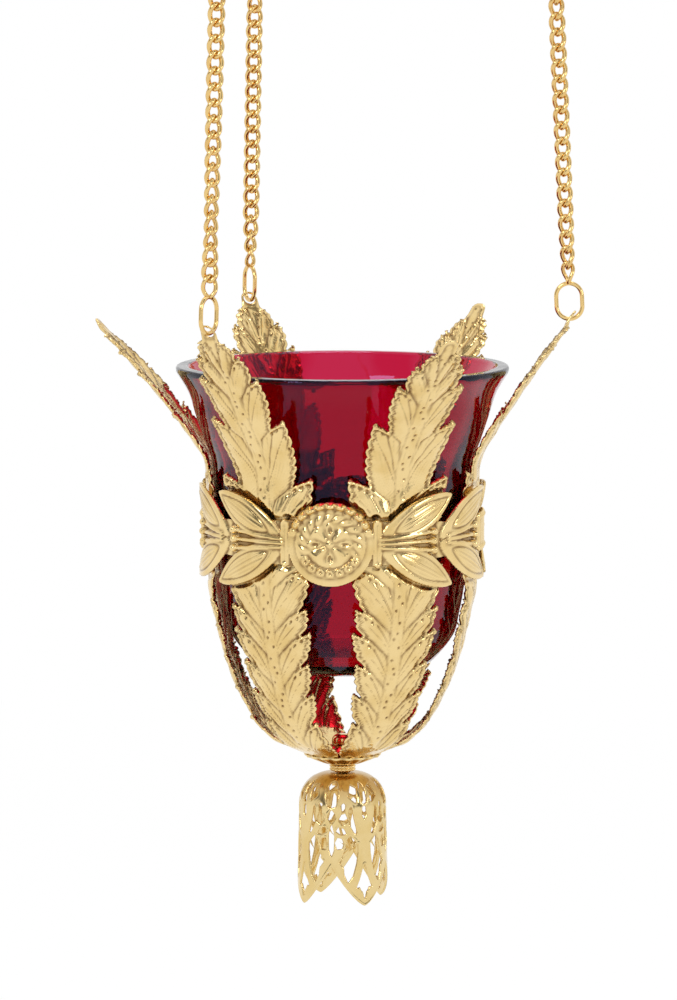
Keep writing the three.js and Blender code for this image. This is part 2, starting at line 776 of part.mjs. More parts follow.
// Heights of the crown
const crownHoleHeight = crownEyeletHeight + crownHoleRadius - ringWire / 2 - seatGap;
const crownRootTop = crownHoleHeight + crownArmRise;
const crownRootBottom = crownRootTop - crownArmRootHeight;
const crownHubTop = crownRootTop + crownHubCap;
const eyeMiddle = crownHubTop + eyeCollar + eyeWire / 2 + eyeRadius;
const hangingRingMiddle =
  eyeMiddle + eyeRadius - (eyeWire + hangingRingWire) / 2 - seatGap + hangingRingRadius;
const originHeight = hangingRingMiddle + hangingRingRadius - hangingRingWire / 2;

// One arm of the crown: a flat bracket that swings out and down to a round eye.
function crownArmGeometry() {
  const eye = crownHoleRadius + crownEyeRim;
  const root = crownHubRadius - crownTenon;
  const top = crownArmRise;
  const bottom = crownArmRise - crownArmRootHeight;
  const reach = crownEyeletRadius;
  const { innerRise, outerRise } = crownArmUnder;
  const [eyeStart, eyeEnd] = [1.2 * Math.PI, 2.75 * Math.PI]; // where the edges leave the eye
  const shape = new THREE.Shape();
  shape.moveTo(root, bottom);
  shape.lineTo(crownHubRadius + seatGap, bottom);
  shape.bezierCurveTo(
    reach * crownArmUnder.inner,
    bottom + innerRise,
    reach * crownArmUnder.outer,
    bottom + outerRise,
    reach + eye * Math.cos(eyeStart),
    eye * Math.sin(eyeStart),
  );
  shape.absarc(reach, 0, eye, eyeStart, eyeEnd, false);
  shape.bezierCurveTo(
    reach * crownArmOver.outer,
    top + crownArmOver.outerRise,
    reach * crownArmOver.inner,
    top + crownArmOver.innerRise,
    crownHubRadius + seatGap,
    top,
  );
  shape.lineTo(root, top);
  shape.closePath();
  const hole = new THREE.Path();
  hole.absarc(reach, 0, crownHoleRadius, 0, Math.PI * 2, true);
  shape.holes.push(hole);
  return new THREE.ExtrudeGeometry(shape, {
    depth: crownArmThickness,
    bevelEnabled: false,
    curveSegments: 8,
  })
    .translate(0, 0, -crownArmThickness / 2)
    .rotateX(Math.PI / 2)
    .translate(0, 0, crownHoleHeight);
}

// The hub: a turned boss with a drop below, slotted for the arms and bored for the eye.
function crownHubGeometry(azimuths) {
  const bore = eyeShankRadius + seatGap;
  const boreBottom = crownHubTop - eyeShankDepth - seatGap;
  const profile = [
    ...crownDrop.map(([radius, height]) => [radius, crownRootBottom - crownFinial + height]),
    [crownHubRadius, crownRootBottom - crownHubLip],
    [crownHubRadius, crownRootTop + crownHubLip],
    [crownHubRadius - crownHubCapStep, (crownRootTop + crownHubLip + crownHubTop) / 2],
    [bore + eyeCollarStep, crownHubTop],
    [bore, crownHubTop],
    [bore, boreBottom],
    [0, boreBottom],
  ];
  let hub = solidOf(turned(profile, bellSegments));
  const height = crownArmRootHeight + 2 * seatGap;
  const width = crownArmThickness + 2 * seatGap;
  for (const azimuth of azimuths) {
    const slot = new THREE.BoxGeometry(crownHubRadius, width, height)
      .translate(
        crownHubRadius - crownTenon - seatGap + crownHubRadius / 2,
        0,
        (crownRootTop + crownRootBottom) / 2,
      )
      .rotateZ(azimuth);
    hub = hub.subtract(solidOf(slot));
  }
  return geometryOf(hub);
}

// The screw eye in the hub's bore, its loop in the XZ plane.
function crownEyeGeometry() {
  const loop = new THREE.TorusGeometry(eyeRadius, eyeWire / 2, 6, 16)
    .rotateX(Math.PI / 2)
    .translate(0, 0, eyeMiddle);
  const shankTop = eyeMiddle - eyeRadius;
  const shank = cylinder(eyeShankRadius, crownHubTop - eyeShankDepth, shankTop, boreFacets);
  const rim = eyeShankRadius + eyeCollarStep;
  const collar = cylinder(rim, crownHubTop + seatGap, crownHubTop + eyeCollar, boreFacets);
  return geometryOf(solidOf(loop).add(solidOf(shank)).add(solidOf(collar)));
}

// Assembly
const lamp = new THREE.Group();
lamp.position.z = -originHeight;

const chainAzimuths = [];
for (let i = 0; i < leafCount; i++) {
  const azimuth = firstLeafAzimuth + (i * 2 * Math.PI) / leafCount;
  const carriesChain = i % 2 === 0;
  const flare = carriesChain ? chainLeafFlare : freeLeafFlare;
  const leaf = mesh("leaf_" + leafNames[i], leafGeometry(flare, carriesChain), stampedGold);
  leaf.rotation.z = azimuth;
  lamp.add(leaf);
  if (!carriesChain) continue;
  chainAzimuths.push(azimuth);
  lamp.add(suspension(leafNames[i], azimuth));
  const arm = mesh("crown_arm_" + leafNames[i], crownArmGeometry(), chainGold);
  arm.rotation.z = azimuth;
  lamp.add(arm);
}

for (const [name, azimuth] of [
  ["band_front", firstLeafAzimuth - Math.PI / 2],
  ["band_rear", firstLeafAzimuth + Math.PI / 2],
]) {
  const band = mesh(name, bandGeometry(), stampedGold);
  band.rotation.z = azimuth;
  lamp.add(band);
}

lamp.add(
  mesh("glass_cup", glassGeometry(), rubyGlass),
  mesh("inner_rosette", rosetteGeometry(), stampedGold),
  mesh("outer_rosette", dishGeometry(), stampedGold),
  mesh("neck_collar", collarGeometry(), stampedGold),
  mesh("bell", bellGeometry(), stampedGold),
  mesh("centre_bolt", boltGeometry(), chainGold),
  mesh("bell_nut", nutGeometry(), chainGold),
  mesh("crown_hub", crownHubGeometry(chainAzimuths), chainGold),
  mesh("crown_eye", crownEyeGeometry(), chainGold),
);

const hangingRing = new THREE.TorusGeometry(hangingRingRadius, hangingRingWire / 2, 8, 24);
const hanger = mesh("hanging_ring", hangingRing.rotateY(Math.PI / 2), chainGold);
hanger.position.z = hangingRingMiddle;
lamp.add(hanger);

export default lamp;
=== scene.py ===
"""Hanging vigil lamp: a ruby glass cup in a basket of six stamped acanthus leaves, tied by a band
of petals, with a pierced bell below, and hung on three curb chains from a crown and a ring.

Sizes are millimetres and heights are measured from the bell's tips. to_frame() turns them into
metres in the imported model's frame.
"""

import json
import logging
import math
from collections.abc import Callable, Sequence
from dataclasses import dataclass
from enum import Enum

import bmesh
import bpy
import numpy as np
from mathutils import Matrix, Vector


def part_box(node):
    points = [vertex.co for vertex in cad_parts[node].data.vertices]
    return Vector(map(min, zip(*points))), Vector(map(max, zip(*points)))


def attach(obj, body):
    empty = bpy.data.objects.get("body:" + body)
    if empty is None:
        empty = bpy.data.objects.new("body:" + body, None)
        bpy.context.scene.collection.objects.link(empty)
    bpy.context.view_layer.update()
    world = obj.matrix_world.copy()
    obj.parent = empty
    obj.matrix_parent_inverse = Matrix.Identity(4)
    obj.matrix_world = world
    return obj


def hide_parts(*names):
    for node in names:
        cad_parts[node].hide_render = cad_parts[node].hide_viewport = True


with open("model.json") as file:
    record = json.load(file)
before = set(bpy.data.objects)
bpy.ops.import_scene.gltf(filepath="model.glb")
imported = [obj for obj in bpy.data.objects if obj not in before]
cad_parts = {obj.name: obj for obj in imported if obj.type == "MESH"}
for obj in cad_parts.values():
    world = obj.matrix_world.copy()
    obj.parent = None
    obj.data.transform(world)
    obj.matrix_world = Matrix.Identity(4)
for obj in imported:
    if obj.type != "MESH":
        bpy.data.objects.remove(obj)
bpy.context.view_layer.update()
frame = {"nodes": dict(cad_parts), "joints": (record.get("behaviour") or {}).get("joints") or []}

LOG = logging.getLogger("vigil_lamp")

MM = 0.001
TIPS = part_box("bell")[0].z / MM  # height of the bell's tips in the frame
MERGE_DISTANCE = 0.03  # points nearer to each other than this become one

Array = np.ndarray
Field = tuple[Array, Array]  # the margin, which is above 0 on the metal, and the relief
Surface = tuple[Array, Array]  # points, and a unit vector at each
Points = tuple[tuple[float, float], ...]
Triples = tuple[tuple[float, float, float], ...]
Material = bpy.types.Material
Socket = bpy.types.NodeSocket


class Slot(Enum):
    """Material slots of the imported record."""

    LEAF = "stamped_gold"
    BELL = "bell_gold"
    WIRE = "chain_gold"
    GLASS = "ruby_glass"


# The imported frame


def to_frame(points: Array) -> Array:
    """Points in millimetres above the bell's tips, as metres in the frame."""
    lowered = np.array(points, float).reshape(-1, 3)
    lowered[:, 2] += TIPS
    return lowered * MM


def height_of(node: str) -> tuple[float, float]:
    """The lowest and highest point of a node, in millimetres above the bell's tips."""
    low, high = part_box(node)
    return low.z / MM - TIPS, high.z / MM - TIPS


def pivot(joint: str) -> Array:
    """Where a joint of the record turns, in millimetres above the bell's tips."""
    found = next(each for each in frame["joints"] if each["name"] == joint)
    return np.array(found["pos_m"]) / MM - [0, 0, TIPS]


def sway_joint(name: str, side: str) -> str:
    """A sway joint's name on one side: the right-hand one leads and has no ending."""
    return name if side == "right" else f"{name}_{side}"


# Arithmetic on whole arrays


def smooth(low: float, high: float, value: Array) -> Array:
    """0 below low and 1 above high, with a smooth step between: 3t^2 - 2t^3."""
    t = np.clip((value - low) / (high - low), 0, 1)
    return t * t * (3 - 2 * t)


def faded(least: float, share: Array) -> Array:
    """A factor that goes from a least value up to 1 with the share."""
    return least + (1 - least) * share


def bump(value: Array, width: float) -> Array:
    """A bell curve of height 1 round 0: e to the minus (value / width) squared."""
    return np.exp(-((value / width) ** 2))


def dome(share: Array) -> Array:
    """Height of a half round at a share of the way out: the root of 1 minus the share squared."""
    return np.sqrt(np.maximum(1 - share**2, 0))


def ball(radius: float, away: Array) -> Array:
    """Height of a ball at a distance from its middle: the root of its radius^2 - distance^2."""
    return np.sqrt(np.maximum(radius**2 - away**2, 0))


def nearest(value: Array, step: float) -> Array:
    """How far a value lies past the nearest multiple of a step, from minus to plus half a step."""
    return (value + step / 2) % step - step / 2


@dataclass(frozen=True)
class Ridge:
    """A raised or sunk line: its height, its half width, and how far off its guide line it runs."""

    height: float
    width: float
    offset: float = 0.0

    def at(self, distance: Array) -> Array:
        """Its height at a distance from its guide line."""
        return self.height * bump(distance - self.offset, self.width)


def unit(vectors: Array) -> Array:
    """Vectors, one a row, brought to length 1."""
    return vectors / np.linalg.norm(vectors, axis=1)[:, None]


def way_along(points: Array) -> Array:
    """The length along a line of points up to each of them."""
    return np.concatenate([[0.0], np.cumsum(np.linalg.norm(np.diff(points, axis=0), axis=1))])


def arc(middle: Sequence[float], radius: float, start: float, end: float, count: int) -> Array:
    """Points at even angles on a circle in a plane: middle + radius * (cos, sin)."""
    turn = np.linspace(start, end, count)[:, None]
    return radius * np.hstack([np.cos(turn), np.sin(turn)]) + np.asarray(middle, float)


def polar(radius: Array, azimuth: Array, height: Array) -> Array:
    """Points, or vectors, from a radius, an azimuth about Z and a height."""
    radius, azimuth, height = np.broadcast_arrays(radius, azimuth, height)
    return np.stack([radius * np.cos(azimuth), radius * np.sin(azimuth), height], axis=-1)


def about_z(points: Array, azimuth: Array | float) -> Array:
    """Points turned about the Z axis, by one angle or by one angle a point."""
    cosine, sine = np.cos(azimuth), np.sin(azimuth)
    x, y, z = np.moveaxis(points, -1, 0)
    return np.stack([x * cosine - y * sine, x * sine + y * cosine, z], axis=-1)


# Meshes


@dataclass
class Body:
    """Points and faces of one closed body, with a mask of its grooves that is 0 if none is given. On the bell
    the mask also holds a painted shade over the closed dome.
    """

    points: Array
    faces: Array
    groove: Array | None = None

    def __post_init__(self) -> None:
        """Fills in the groove mask."""
        if self.groove is None:
            self.groove = np.zeros(len(self.points))


def merged(bodies: Sequence[Body]) -> Body:
    """Several bodies of four-cornered faces as one mesh of separate shells.

    Args:
        bodies: the bodies.

    Returns:
        The whole, whose groove mask is 0.
    """
    start = np.cumsum([0] + [len(body.points) for body in bodies])
    faces = [body.faces + before for body, before in zip(bodies, start)]
    return Body(np.vstack([body.points for body in bodies]), np.vstack(faces))


def grid_quads(rows: int, columns: int, closed_rows: bool, closed_columns: bool) -> Array:
    """Corner indices of the quads of a grid of points, numbered row by row.

    Args:
        rows, columns: how many points the grid has each way.
        closed_rows, closed_columns: whether the last row, or column, joins the first.

    Returns:
        An array of four indices a quad.
    """
    i = np.arange(rows if closed_rows else rows - 1)[:, None]
    j = np.arange(columns if closed_columns else columns - 1)[None, :]
    i_next, j_next = (i + 1) % rows, (j + 1) % columns
    corners = (i * columns + j, i * columns + j_next, i_next * columns + j_next, i_next * columns + j)
    return np.stack([np.broadcast_to(c, (i.size, j.size)).ravel() for c in corners], axis=1)


def signed_volume(points: Array, faces: Array) -> float:
    """Volume inside a closed mesh: a sixth of the sum of its triangles' corner triple products.

    Args:
        points, faces: the mesh.

    Returns:
        The volume, below 0 where the faces point inwards.
    """
    total = 0.0
    for k in range(1, faces.shape[1] - 1):
        a, b, c = points[faces[:, 0]], points[faces[:, k]], points[faces[:, k + 1]]
        total += float(np.einsum("ij,ij->i", a, np.cross(b, c)).sum())
    return total / 6


def faces_without_doubles(faces: Array) -> list[list[int]]:
    """Faces as lists, where a quad that repeats a corner is a triangle.

    Args:
        faces: three or four corner indices a face.

    Returns:
        The faces.
    """
    if faces.shape[1] == 3:
        return faces.tolist()
    whole = (faces[:, 2] != faces[:, 3]) & (faces[:, 0] != faces[:, 1])
    rest = faces[~whole]
    triangles = np.where((rest[:, 0] == rest[:, 1])[:, None], rest[:, 1:], rest[:, :3])
    return faces[whole].tolist() + triangles.tolist()


def solid_piece(
    name: str, body: Body, material: Material, rides_on: str, replaced: Sequence[str]
) -> None:
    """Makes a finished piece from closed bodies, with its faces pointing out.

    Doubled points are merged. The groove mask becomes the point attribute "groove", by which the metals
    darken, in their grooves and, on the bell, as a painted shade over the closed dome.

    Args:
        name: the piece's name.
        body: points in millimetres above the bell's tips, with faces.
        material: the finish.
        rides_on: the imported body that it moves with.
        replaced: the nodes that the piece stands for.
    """
    faces = body.faces if signed_volume(body.points, body.faces) > 0 else body.faces[:, ::-1]
    mesh = bpy.data.meshes.new(name)
    mesh.from_pydata(to_frame(body.points), [], faces_without_doubles(faces))
    groove = mesh.attributes.new("groove", "FLOAT", "POINT")
    groove.data.foreach_set("value", body.groove.astype(np.float32))
    work = bmesh.new()
    work.from_mesh(mesh)
    bmesh.ops.remove_doubles(work, verts=work.verts, dist=MERGE_DISTANCE * MM)
    bmesh.ops.dissolve_degenerate(work, edges=work.edges, dist=MERGE_DISTANCE * MM / 10)
    work.to_mesh(mesh)
    work.free()
    mesh.shade_smooth()
    mesh.materials.append(material)
    piece = bpy.data.objects.new(name, mesh)
    bpy.context.scene.collection.objects.link(piece)
    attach(piece, rides_on)
    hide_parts(*replaced)
    LOG.info("%s: %d faces", name, len(mesh.polygons))


@dataclass
class Line:
    """A smooth line through points, with its length measured along it.

    Between two points the line is a centripetal Catmull-Rom curve: a cubic whose end slopes are
    taken from the neighbouring points, with knots spaced by the square root of their distance.
    """

    through: Sequence[tuple[float, float]]
    samples: int = 60  # of the curve between two points

    def __post_init__(self) -> None:
        """Samples the curve and measures it."""
        p = np.array(self.through, float)
        p = np.vstack([2 * p[0] - p[1], p, 2 * p[-1] - p[-2]])
        knot = np.sqrt(np.linalg.norm(np.diff(p, axis=0), axis=1))
        t = np.linspace(0, 1, self.samples, endpoint=False)[:, None]
        before, span, after = knot[:-2, None, None], knot[1:-1, None, None], knot[2:, None, None]
        p0, p1, p2, p3 = (p[k : len(p) - 3 + k, None, :] for k in range(4))
        start = ((p1 - p0) / before - (p2 - p0) / (before + span) + (p2 - p1) / span) * span
        end = ((p2 - p1) / span - (p3 - p1) / (span + after) + (p3 - p2) / after) * span
        cubic = p1 + start * t + (3 * (p2 - p1) - 2 * start - end) * t**2
        cubic = cubic + (2 * (p1 - p2) + start + end) * t**3
        self.points = np.vstack([cubic.reshape(-1, 2), p[-2]])
        self.at = way_along(self.points)
        self.length = float(self.at[-1])

    def point(self, along: Array) -> Surface:
        """Both coordinates of the line at lengths along it."""
        return np.interp(along, self.at, self.points[:, 0]), np.interp(along, self.at, self.points[:, 1])

    def even(self, count: int) -> Array:
        """That many points at even steps along the line."""
        return np.column_stack(self.point(np.linspace(0, self.length, count)))


Swell = Callable[[Array, Array], Array]  # a factor on the radius, from the azimuth and the profile's index


def turned(profile: Array, segments: int, swell: Swell | None = None, closed: bool = False) -> Body:
    """A body turned about the Z axis.

    A profile that isn't closed starts and ends on the axis.

    Args:
        profile: radii and heights.
        segments: steps round the axis.
        swell: a factor on the radius.
        closed: whether the profile closes on itself.

    Returns:
        The body.
    """
    azimuth = np.arange(segments) * (math.tau / segments)
    turn, index = np.meshgrid(azimuth, np.arange(len(profile)))
    radius = profile[:, :1] * (swell(turn, index) if swell else 1.0)
    points = polar(radius, turn, profile[:, 1:])
    return Body(points.reshape(-1, 3), grid_quads(len(profile), segments, closed, True))


def lobed(count: int, depth: float, share: Array, power: float = 1.0) -> Swell:
    """A swell of round lobes: the radius draws in between them by the depth times (1 - |cos|)^power.

    Args:
        count: how many lobes go round the axis.
        depth: how far the radius draws in, as a share of itself.
        share: how much of that depth each point of the profile takes.
        power: above 1 for broader lobes.

    Returns:
        The swell.
    """

    def swell(azimuth: Array, index: Array) -> Array:
        """The factor on the radius."""
        return 1 - depth * share[index] * (1 - np.abs(np.cos(count * azimuth / 2))) ** power

    return swell


def swept_loop(middle: Array, across: Array, up: Array, radius: float, sides: int) -> Body:
    """A closed wire: a round section carried along a closed line of points.

    Args:
        middle: the line's points.
        across, up: unit vectors of the section's plane at each point.
        radius: the wire's radius.
        sides: points of the section.

    Returns:
        The body.
    """
    turn = np.arange(sides) * (math.tau / sides)
    ring = np.cos(turn)[None, :, None] * across[:, None, :] + np.sin(turn)[None, :, None] * up[:, None, :]
    points = middle[:, None, :] + radius * ring
    return Body(points.reshape(-1, 3), grid_quads(len(middle), sides, True, True))


# Pressed sheets


@dataclass
class PressedSheet:
    """A sheet of metal that is cut out on a flat plan, pressed into relief and bent into place.

    The plan says at each point how far it lies inside the edge and how high the relief stands.
    The grid is cut along the line where the margin is 0. Front and back then lie half a
    thickness off the bent surface, and meet at the edge in a half round.
    """

    plan: Callable[[Array, Array], Field]
    place: Callable[[Array, Array], Surface]  # the bent surface and its unit normals
    x_range: tuple[float, float]
    y_range: tuple[float, float]
    step: float | tuple[float, float] = 0.3
    thickness: float = 0.6
    rounding: float = 0.28
    wraps: bool = False  # whether the sheet closes on itself along x
    cast: bool = False  # a casting has its relief on both faces, a stamping on one side only
    groove_blur: int = 3  # grid points each way that a point's depth is measured against
    groove_depth: float = 0.16  # at which the groove mask is 1

    def body(self) -> Body:
        """Cuts, presses and bends the sheet."""
        step_x, step_y = np.broadcast_to(self.step, 2)
        columns = round((self.x_range[1] - self.x_range[0]) / step_x)
        rows = round((self.y_range[1] - self.y_range[0]) / step_y)
        x = np.linspace(*self.x_range, columns + 1)[: columns if self.wraps else None]
        gx, gy = np.meshgrid(x, np.linspace(*self.y_range, rows + 1))
        margin, relief = self.plan(gx, gy)
        px, py, faces, edge, deep = self._cut(gx, gy, margin, self._groove(relief))
        margin, relief = self.plan(px, py)
        inset = 1 - np.clip(margin / self.rounding, 0, 1)
        half = np.where(edge, 0.0, self.thickness / 2 * dome(inset))
        points, normals = self.place(px, py)
        front = points + normals * (relief + half)[:, None]
        back = points - normals * ((relief if self.cast else -relief) + half)[:, None]
        number = np.cumsum(~edge) - 1 + len(px)
        behind = np.where(edge, np.arange(len(px)), number)
        return Body(
            np.vstack([front, back[~edge]]),
            np.vstack([faces, behind[faces][:, ::-1]]),
            np.concatenate([deep, deep[~edge]]),
        )

    def _groove(self, relief: Array) -> Array:
        """How far points lie below the mean of their surroundings, as a share of the full depth.

        Args:
            relief: heights on the grid.

        Returns:
            The mask, from 0 to 1.
        """
        blurred = relief
        for axis in (0, 1):
            parts = [np.roll(blurred, k, axis) for k in range(-self.groove_blur, self.groove_blur + 1)]
            blurred = sum(parts) / len(parts)
        return np.clip((blurred - relief) / self.groove_depth, 0, 1)

    def _cut(
        self, gx: Array, gy: Array, margin: Array, deep: Array
    ) -> tuple[Array, Array, Array, Array, Array]:
        """Cuts the grid's triangles along the line of margin 0.

        A triangle with one corner inside keeps a triangle, and one with two keeps a quad. The new
        points lie where the margin, taken as even between two corners, is 0.

        Args:
            gx, gy: the grid.
            margin, deep: the margin and the groove mask on it.

        Returns:
            The x and y of the kept points, the triangles, which points lie on the edge, and the
            groove mask.
        """
        quads = grid_quads(*gx.shape, False, self.wraps)
        triangles = np.vstack([quads[:, [0, 1, 2]], quads[:, [0, 2, 3]]])
        x, y, m, g = (values.ravel() for values in (gx, gy, margin, deep))
        inside = m > 0
        count = inside[triangles].sum(1)
        one, two = triangles[count == 1], triangles[count == 2]
        first = np.argmax(inside[one], axis=1)
        one = np.take_along_axis(one, (first[:, None] + [0, 1, 2]) % 3, 1)
        first = np.argmin(inside[two], axis=1)
        two = np.take_along_axis(two, (first[:, None] + [0, 1, 2]) % 3, 1)
        crossed = np.vstack([one[:, [0, 1]], one[:, [0, 2]], two[:, [1, 0]], two[:, [2, 0]]])
        ends, inverse = np.unique(crossed, axis=0, return_inverse=True)
        a, b = ends.T
        share = m[a] / (m[a] - m[b])
        wrap = (self.x_range[1] - self.x_range[0]) if self.wraps else np.inf
        x_b = x[b] + (wrap * np.round((x[a] - x[b]) / wrap) if self.wraps else 0)
        new_x = x[a] + share * (x_b - x[a])
        new_y, new_g = (values[a] + share * (values[b] - values[a]) for values in (y, g))
        numbers = inverse.ravel() + x.size
        ab, ac, ba, ca = np.split(numbers, np.cumsum([len(one), len(one), len(two)]))
        faces = np.vstack(
            [
                triangles[count == 3],
                np.column_stack([one[:, 0], ab, ac]),
                np.column_stack([ba, two[:, 1], two[:, 2]]),
                np.column_stack([ba, two[:, 2], ca]),
            ]
        )
        x, y, g = np.concatenate([x, new_x]), np.concatenate([y, new_y]), np.concatenate([g, new_g])
        edge = np.arange(x.size) >= m.size
        used = np.unique(faces)
        renumber = np.zeros(x.size, int)
        renumber[used] = np.arange(used.size)
        return x[used], y[used], renumber[faces], edge[used], g[used]


def polygon_margin(x: Array, y: Array, outline: Array, reach: float = 2.0) -> Array:
    """Distance inside a closed outline, negative outside, and cut off at a greatest reach.

    The points are taken in strips as tall as the reach, each with the edges that come near it.

    Args:
        x, y: the points.
        outline: its corners, not repeated at the end.
        reach: the greatest distance that is told apart.

    Returns:
        The margin at each point.
    """
    start, end = outline, np.roll(outline, -1, axis=0)
    low, high = np.minimum(start[:, 1], end[:, 1]), np.maximum(start[:, 1], end[:, 1])
    flat_x, flat_y = x.ravel(), y.ravel()
    strip = np.floor(flat_y / reach)
    margin = np.empty(flat_x.shape)
    for level in np.unique(strip):
        chosen = strip == level
        near = (high >= (level - 1) * reach) & (low <= (level + 2) * reach)
        margin[chosen] = _near_margin(flat_x[chosen], flat_y[chosen], start[near], end[near], reach)
    return margin.reshape(x.shape)


def _near_margin(x: Array, y: Array, start: Array, end: Array, reach: float) -> Array:
    """The margin of points from a few edges: least distance, with its sign from a ray's crossings.

    Args:
        x, y: the points.
        start, end: both ends of each edge.
        reach: the greatest distance that is told apart.

    Returns:
        The margin at each point.
    """
    if len(start) == 0:
        return np.full(x.shape, -reach)
    points = np.stack([x, y], axis=1)[:, None, :]
    run = end - start
    share = np.clip(((points - start) * run).sum(-1) / np.maximum((run**2).sum(-1), 1e-12), 0, 1)
    distance = np.linalg.norm(points - (start + share[..., None] * run), axis=-1).min(axis=1)
    above = (start[:, 1] > points[..., 1]) != (end[:, 1] > points[..., 1])
    rise = np.where(run[:, 1] == 0, 1e-9, run[:, 1])
    crossing = start[:, 0] + (points[..., 1] - start[:, 1]) * run[:, 0] / rise
    inside = (above & (points[..., 0] < crossing)).sum(axis=1) % 2 == 1
    return np.minimum(distance, reach) * np.where(inside, 1, -1)


# Finishes


class Nodes:
    """A short way to place nodes in a tree and join them."""

    def __init__(self, tree: bpy.types.NodeTree) -> None:
        """Keeps the tree that the nodes go into."""
        self.tree = tree

    def fill(self, node: bpy.types.Node, inputs: dict) -> bpy.types.Node:
        """Fills a node's inputs.

        Args:
            node: the node.
            inputs: values or output sockets for its inputs, by name or number.

        Returns:
            The node.
        """
        for name, value in inputs.items():
            if isinstance(value, bpy.types.NodeSocket):
                self.tree.links.new(value, node.inputs[name])
            else:
                node.inputs[name].default_value = value
        return node

    def add(self, kind: str, inputs: dict | None = None, **settings: object) -> bpy.types.Node:
        """Places a node.

        Args:
            kind: the node's type.
            inputs: as for fill().
            settings: the node's own properties.

        Returns:
            The node.
        """
        node = self.tree.nodes.new(kind)
        for name, value in settings.items():
            setattr(node, name, value)
        return self.fill(node, inputs or {})

    def mix(self, share: object, low: object, high: object, kind: str = "MIX") -> Socket:
        """Mixes two colours by a share."""
        inputs = {0: share, 6: low, 7: high}
        return self.add("ShaderNodeMix", inputs, data_type="RGBA", blend_type=kind).outputs[2]

    def math(self, kind: str, *values: object) -> Socket:
        """One step of arithmetic."""
        return self.add("ShaderNodeMath", dict(enumerate(values)), operation=kind).outputs[0]

    def noise(self, place: Socket, scale: object, detail: float) -> Socket:
        """Noise over a place."""
        inputs = {"Vector": place, "Scale": scale, "Detail": detail}
        return self.add("ShaderNodeTexNoise", inputs).outputs["Fac"]

    def ramp(self, share: Socket, stops: Points) -> Socket:
        """A grey ramp.

        Args:
            share: where on the ramp to read it.
            stops: places and values.

        Returns:
            The grey.
        """
        node = self.add("ShaderNodeValToRGB", {0: share})
        elements = node.color_ramp.elements
        elements[0].position, elements[-1].position = stops[0][0], stops[-1][0]
        for place, _ in stops[1:-1]:
            elements.new(place)
        for element, (_, value) in zip(elements, stops):
            element.color = (value, value, value, 1)
        return node.outputs[0]


Colour = tuple[float, float, float]


def opaque(colour: Colour) -> tuple[float, ...]:
    """A colour with its alpha."""
    return (*colour, 1.0)


def new_material(name: str) -> tuple[Material, Nodes]:
    """A material with its first nodes, and the way to add to them."""
    made = bpy.data.materials.new(name)
    made.use_nodes = True
    return made, Nodes(made.node_tree)


@dataclass(frozen=True)
class Patina:
    """The metals' shared effect: tarnish in the grooves, cloudy colour and a fine tooth."""

    cloud_scale: float = 160.0
    cloud_stops: Points = ((0.42, 0.0), (0.68, 1.0))
    least_tarnish: float = 0.35  # where the clouds are thin
    rubbed: float = 0.16  # how far roughness varies with the clouds
    groove_roughness: float = 0.12

    def group(self) -> bpy.types.NodeTree:
        """The effect as a node group.

        Its colour is the plain one, clouded a little by noise and darkened to the tarnish by the groove mask,
        which on the bell also holds a painted shade over the closed dome. Its height is a fine noise, for a
        Bump node in the material.
        """
        tree = bpy.data.node_groups.new("patina", "ShaderNodeTree")
        for way, kind, names in (
            ("INPUT", "Color", ("Colour", "Tarnish", "Cloud Colour")),
            ("INPUT", "Float", ("Roughness", "Tooth Size")),
            ("OUTPUT", "Color", ("Colour",)),
            ("OUTPUT", "Float", ("Roughness", "Height")),
        ):
            for name in names:
                tree.interface.new_socket(name, in_out=way, socket_type="NodeSocket" + kind)
        n = Nodes(tree)
        given = n.add("NodeGroupInput").outputs
        place = n.add("ShaderNodeTexCoord").outputs["Object"]
        cloud = n.noise(place, self.cloud_scale, 3.0)
        clouded = n.mix(n.ramp(cloud, self.cloud_stops), given["Colour"], given["Cloud Colour"])
        deep = n.add("ShaderNodeAttribute", attribute_name="groove").outputs["Fac"]
        worn = n.math("MULTIPLY", deep, n.math("ADD", cloud, self.least_tarnish))
        rub = n.math("MULTIPLY_ADD", cloud, self.rubbed, -self.rubbed / 2)
        rough = n.math("ADD", rub, n.math("MULTIPLY", deep, self.groove_roughness))
        out = {
            "Colour": n.mix(worn, clouded, given["Tarnish"]),
            "Roughness": n.math("ADD", given["Roughness"], rough),
            "Height": n.noise(place, given["Tooth Size"], 2.0),
        }
        n.add("NodeGroupOutput", out)
        return tree


@dataclass(frozen=True)
class Gilding:
    """Gold plate: its colour, the tarnish in its grooves, its polish and its tooth."""

    name: str
    colour: Colour
    cloud: Colour
    tarnish: Colour
    roughness: float
    tooth: float  # height of the fine tooth, in millimetres
    tooth_size: float = 1500.0  # scale of the tooth's noise

    def material(self, patina: bpy.types.NodeTree) -> Material:
        """The finish as a material, with the patina placed in it.

        Args:
            patina: the shared node group.

        Returns:
            The material.
        """
        made, n = new_material(self.name)
        given = {
            "Colour": opaque(self.colour),
            "Cloud Colour": opaque(self.cloud),
            "Tarnish": opaque(self.tarnish),
            "Roughness": self.roughness,
            "Tooth Size": self.tooth_size,
        }
        effect = n.add("ShaderNodeGroup", given, node_tree=patina).outputs
        bumped = {"Height": effect["Height"], "Strength": 1.0, "Distance": self.tooth * MM}
        surface = {
            "Metallic": 1.0,
            "Base Color": effect["Colour"],
            "Roughness": effect["Roughness"],
            "Normal": n.add("ShaderNodeBump", bumped).outputs[0],
        }
        n.fill(n.tree.nodes["Principled BSDF"], surface)
        return made


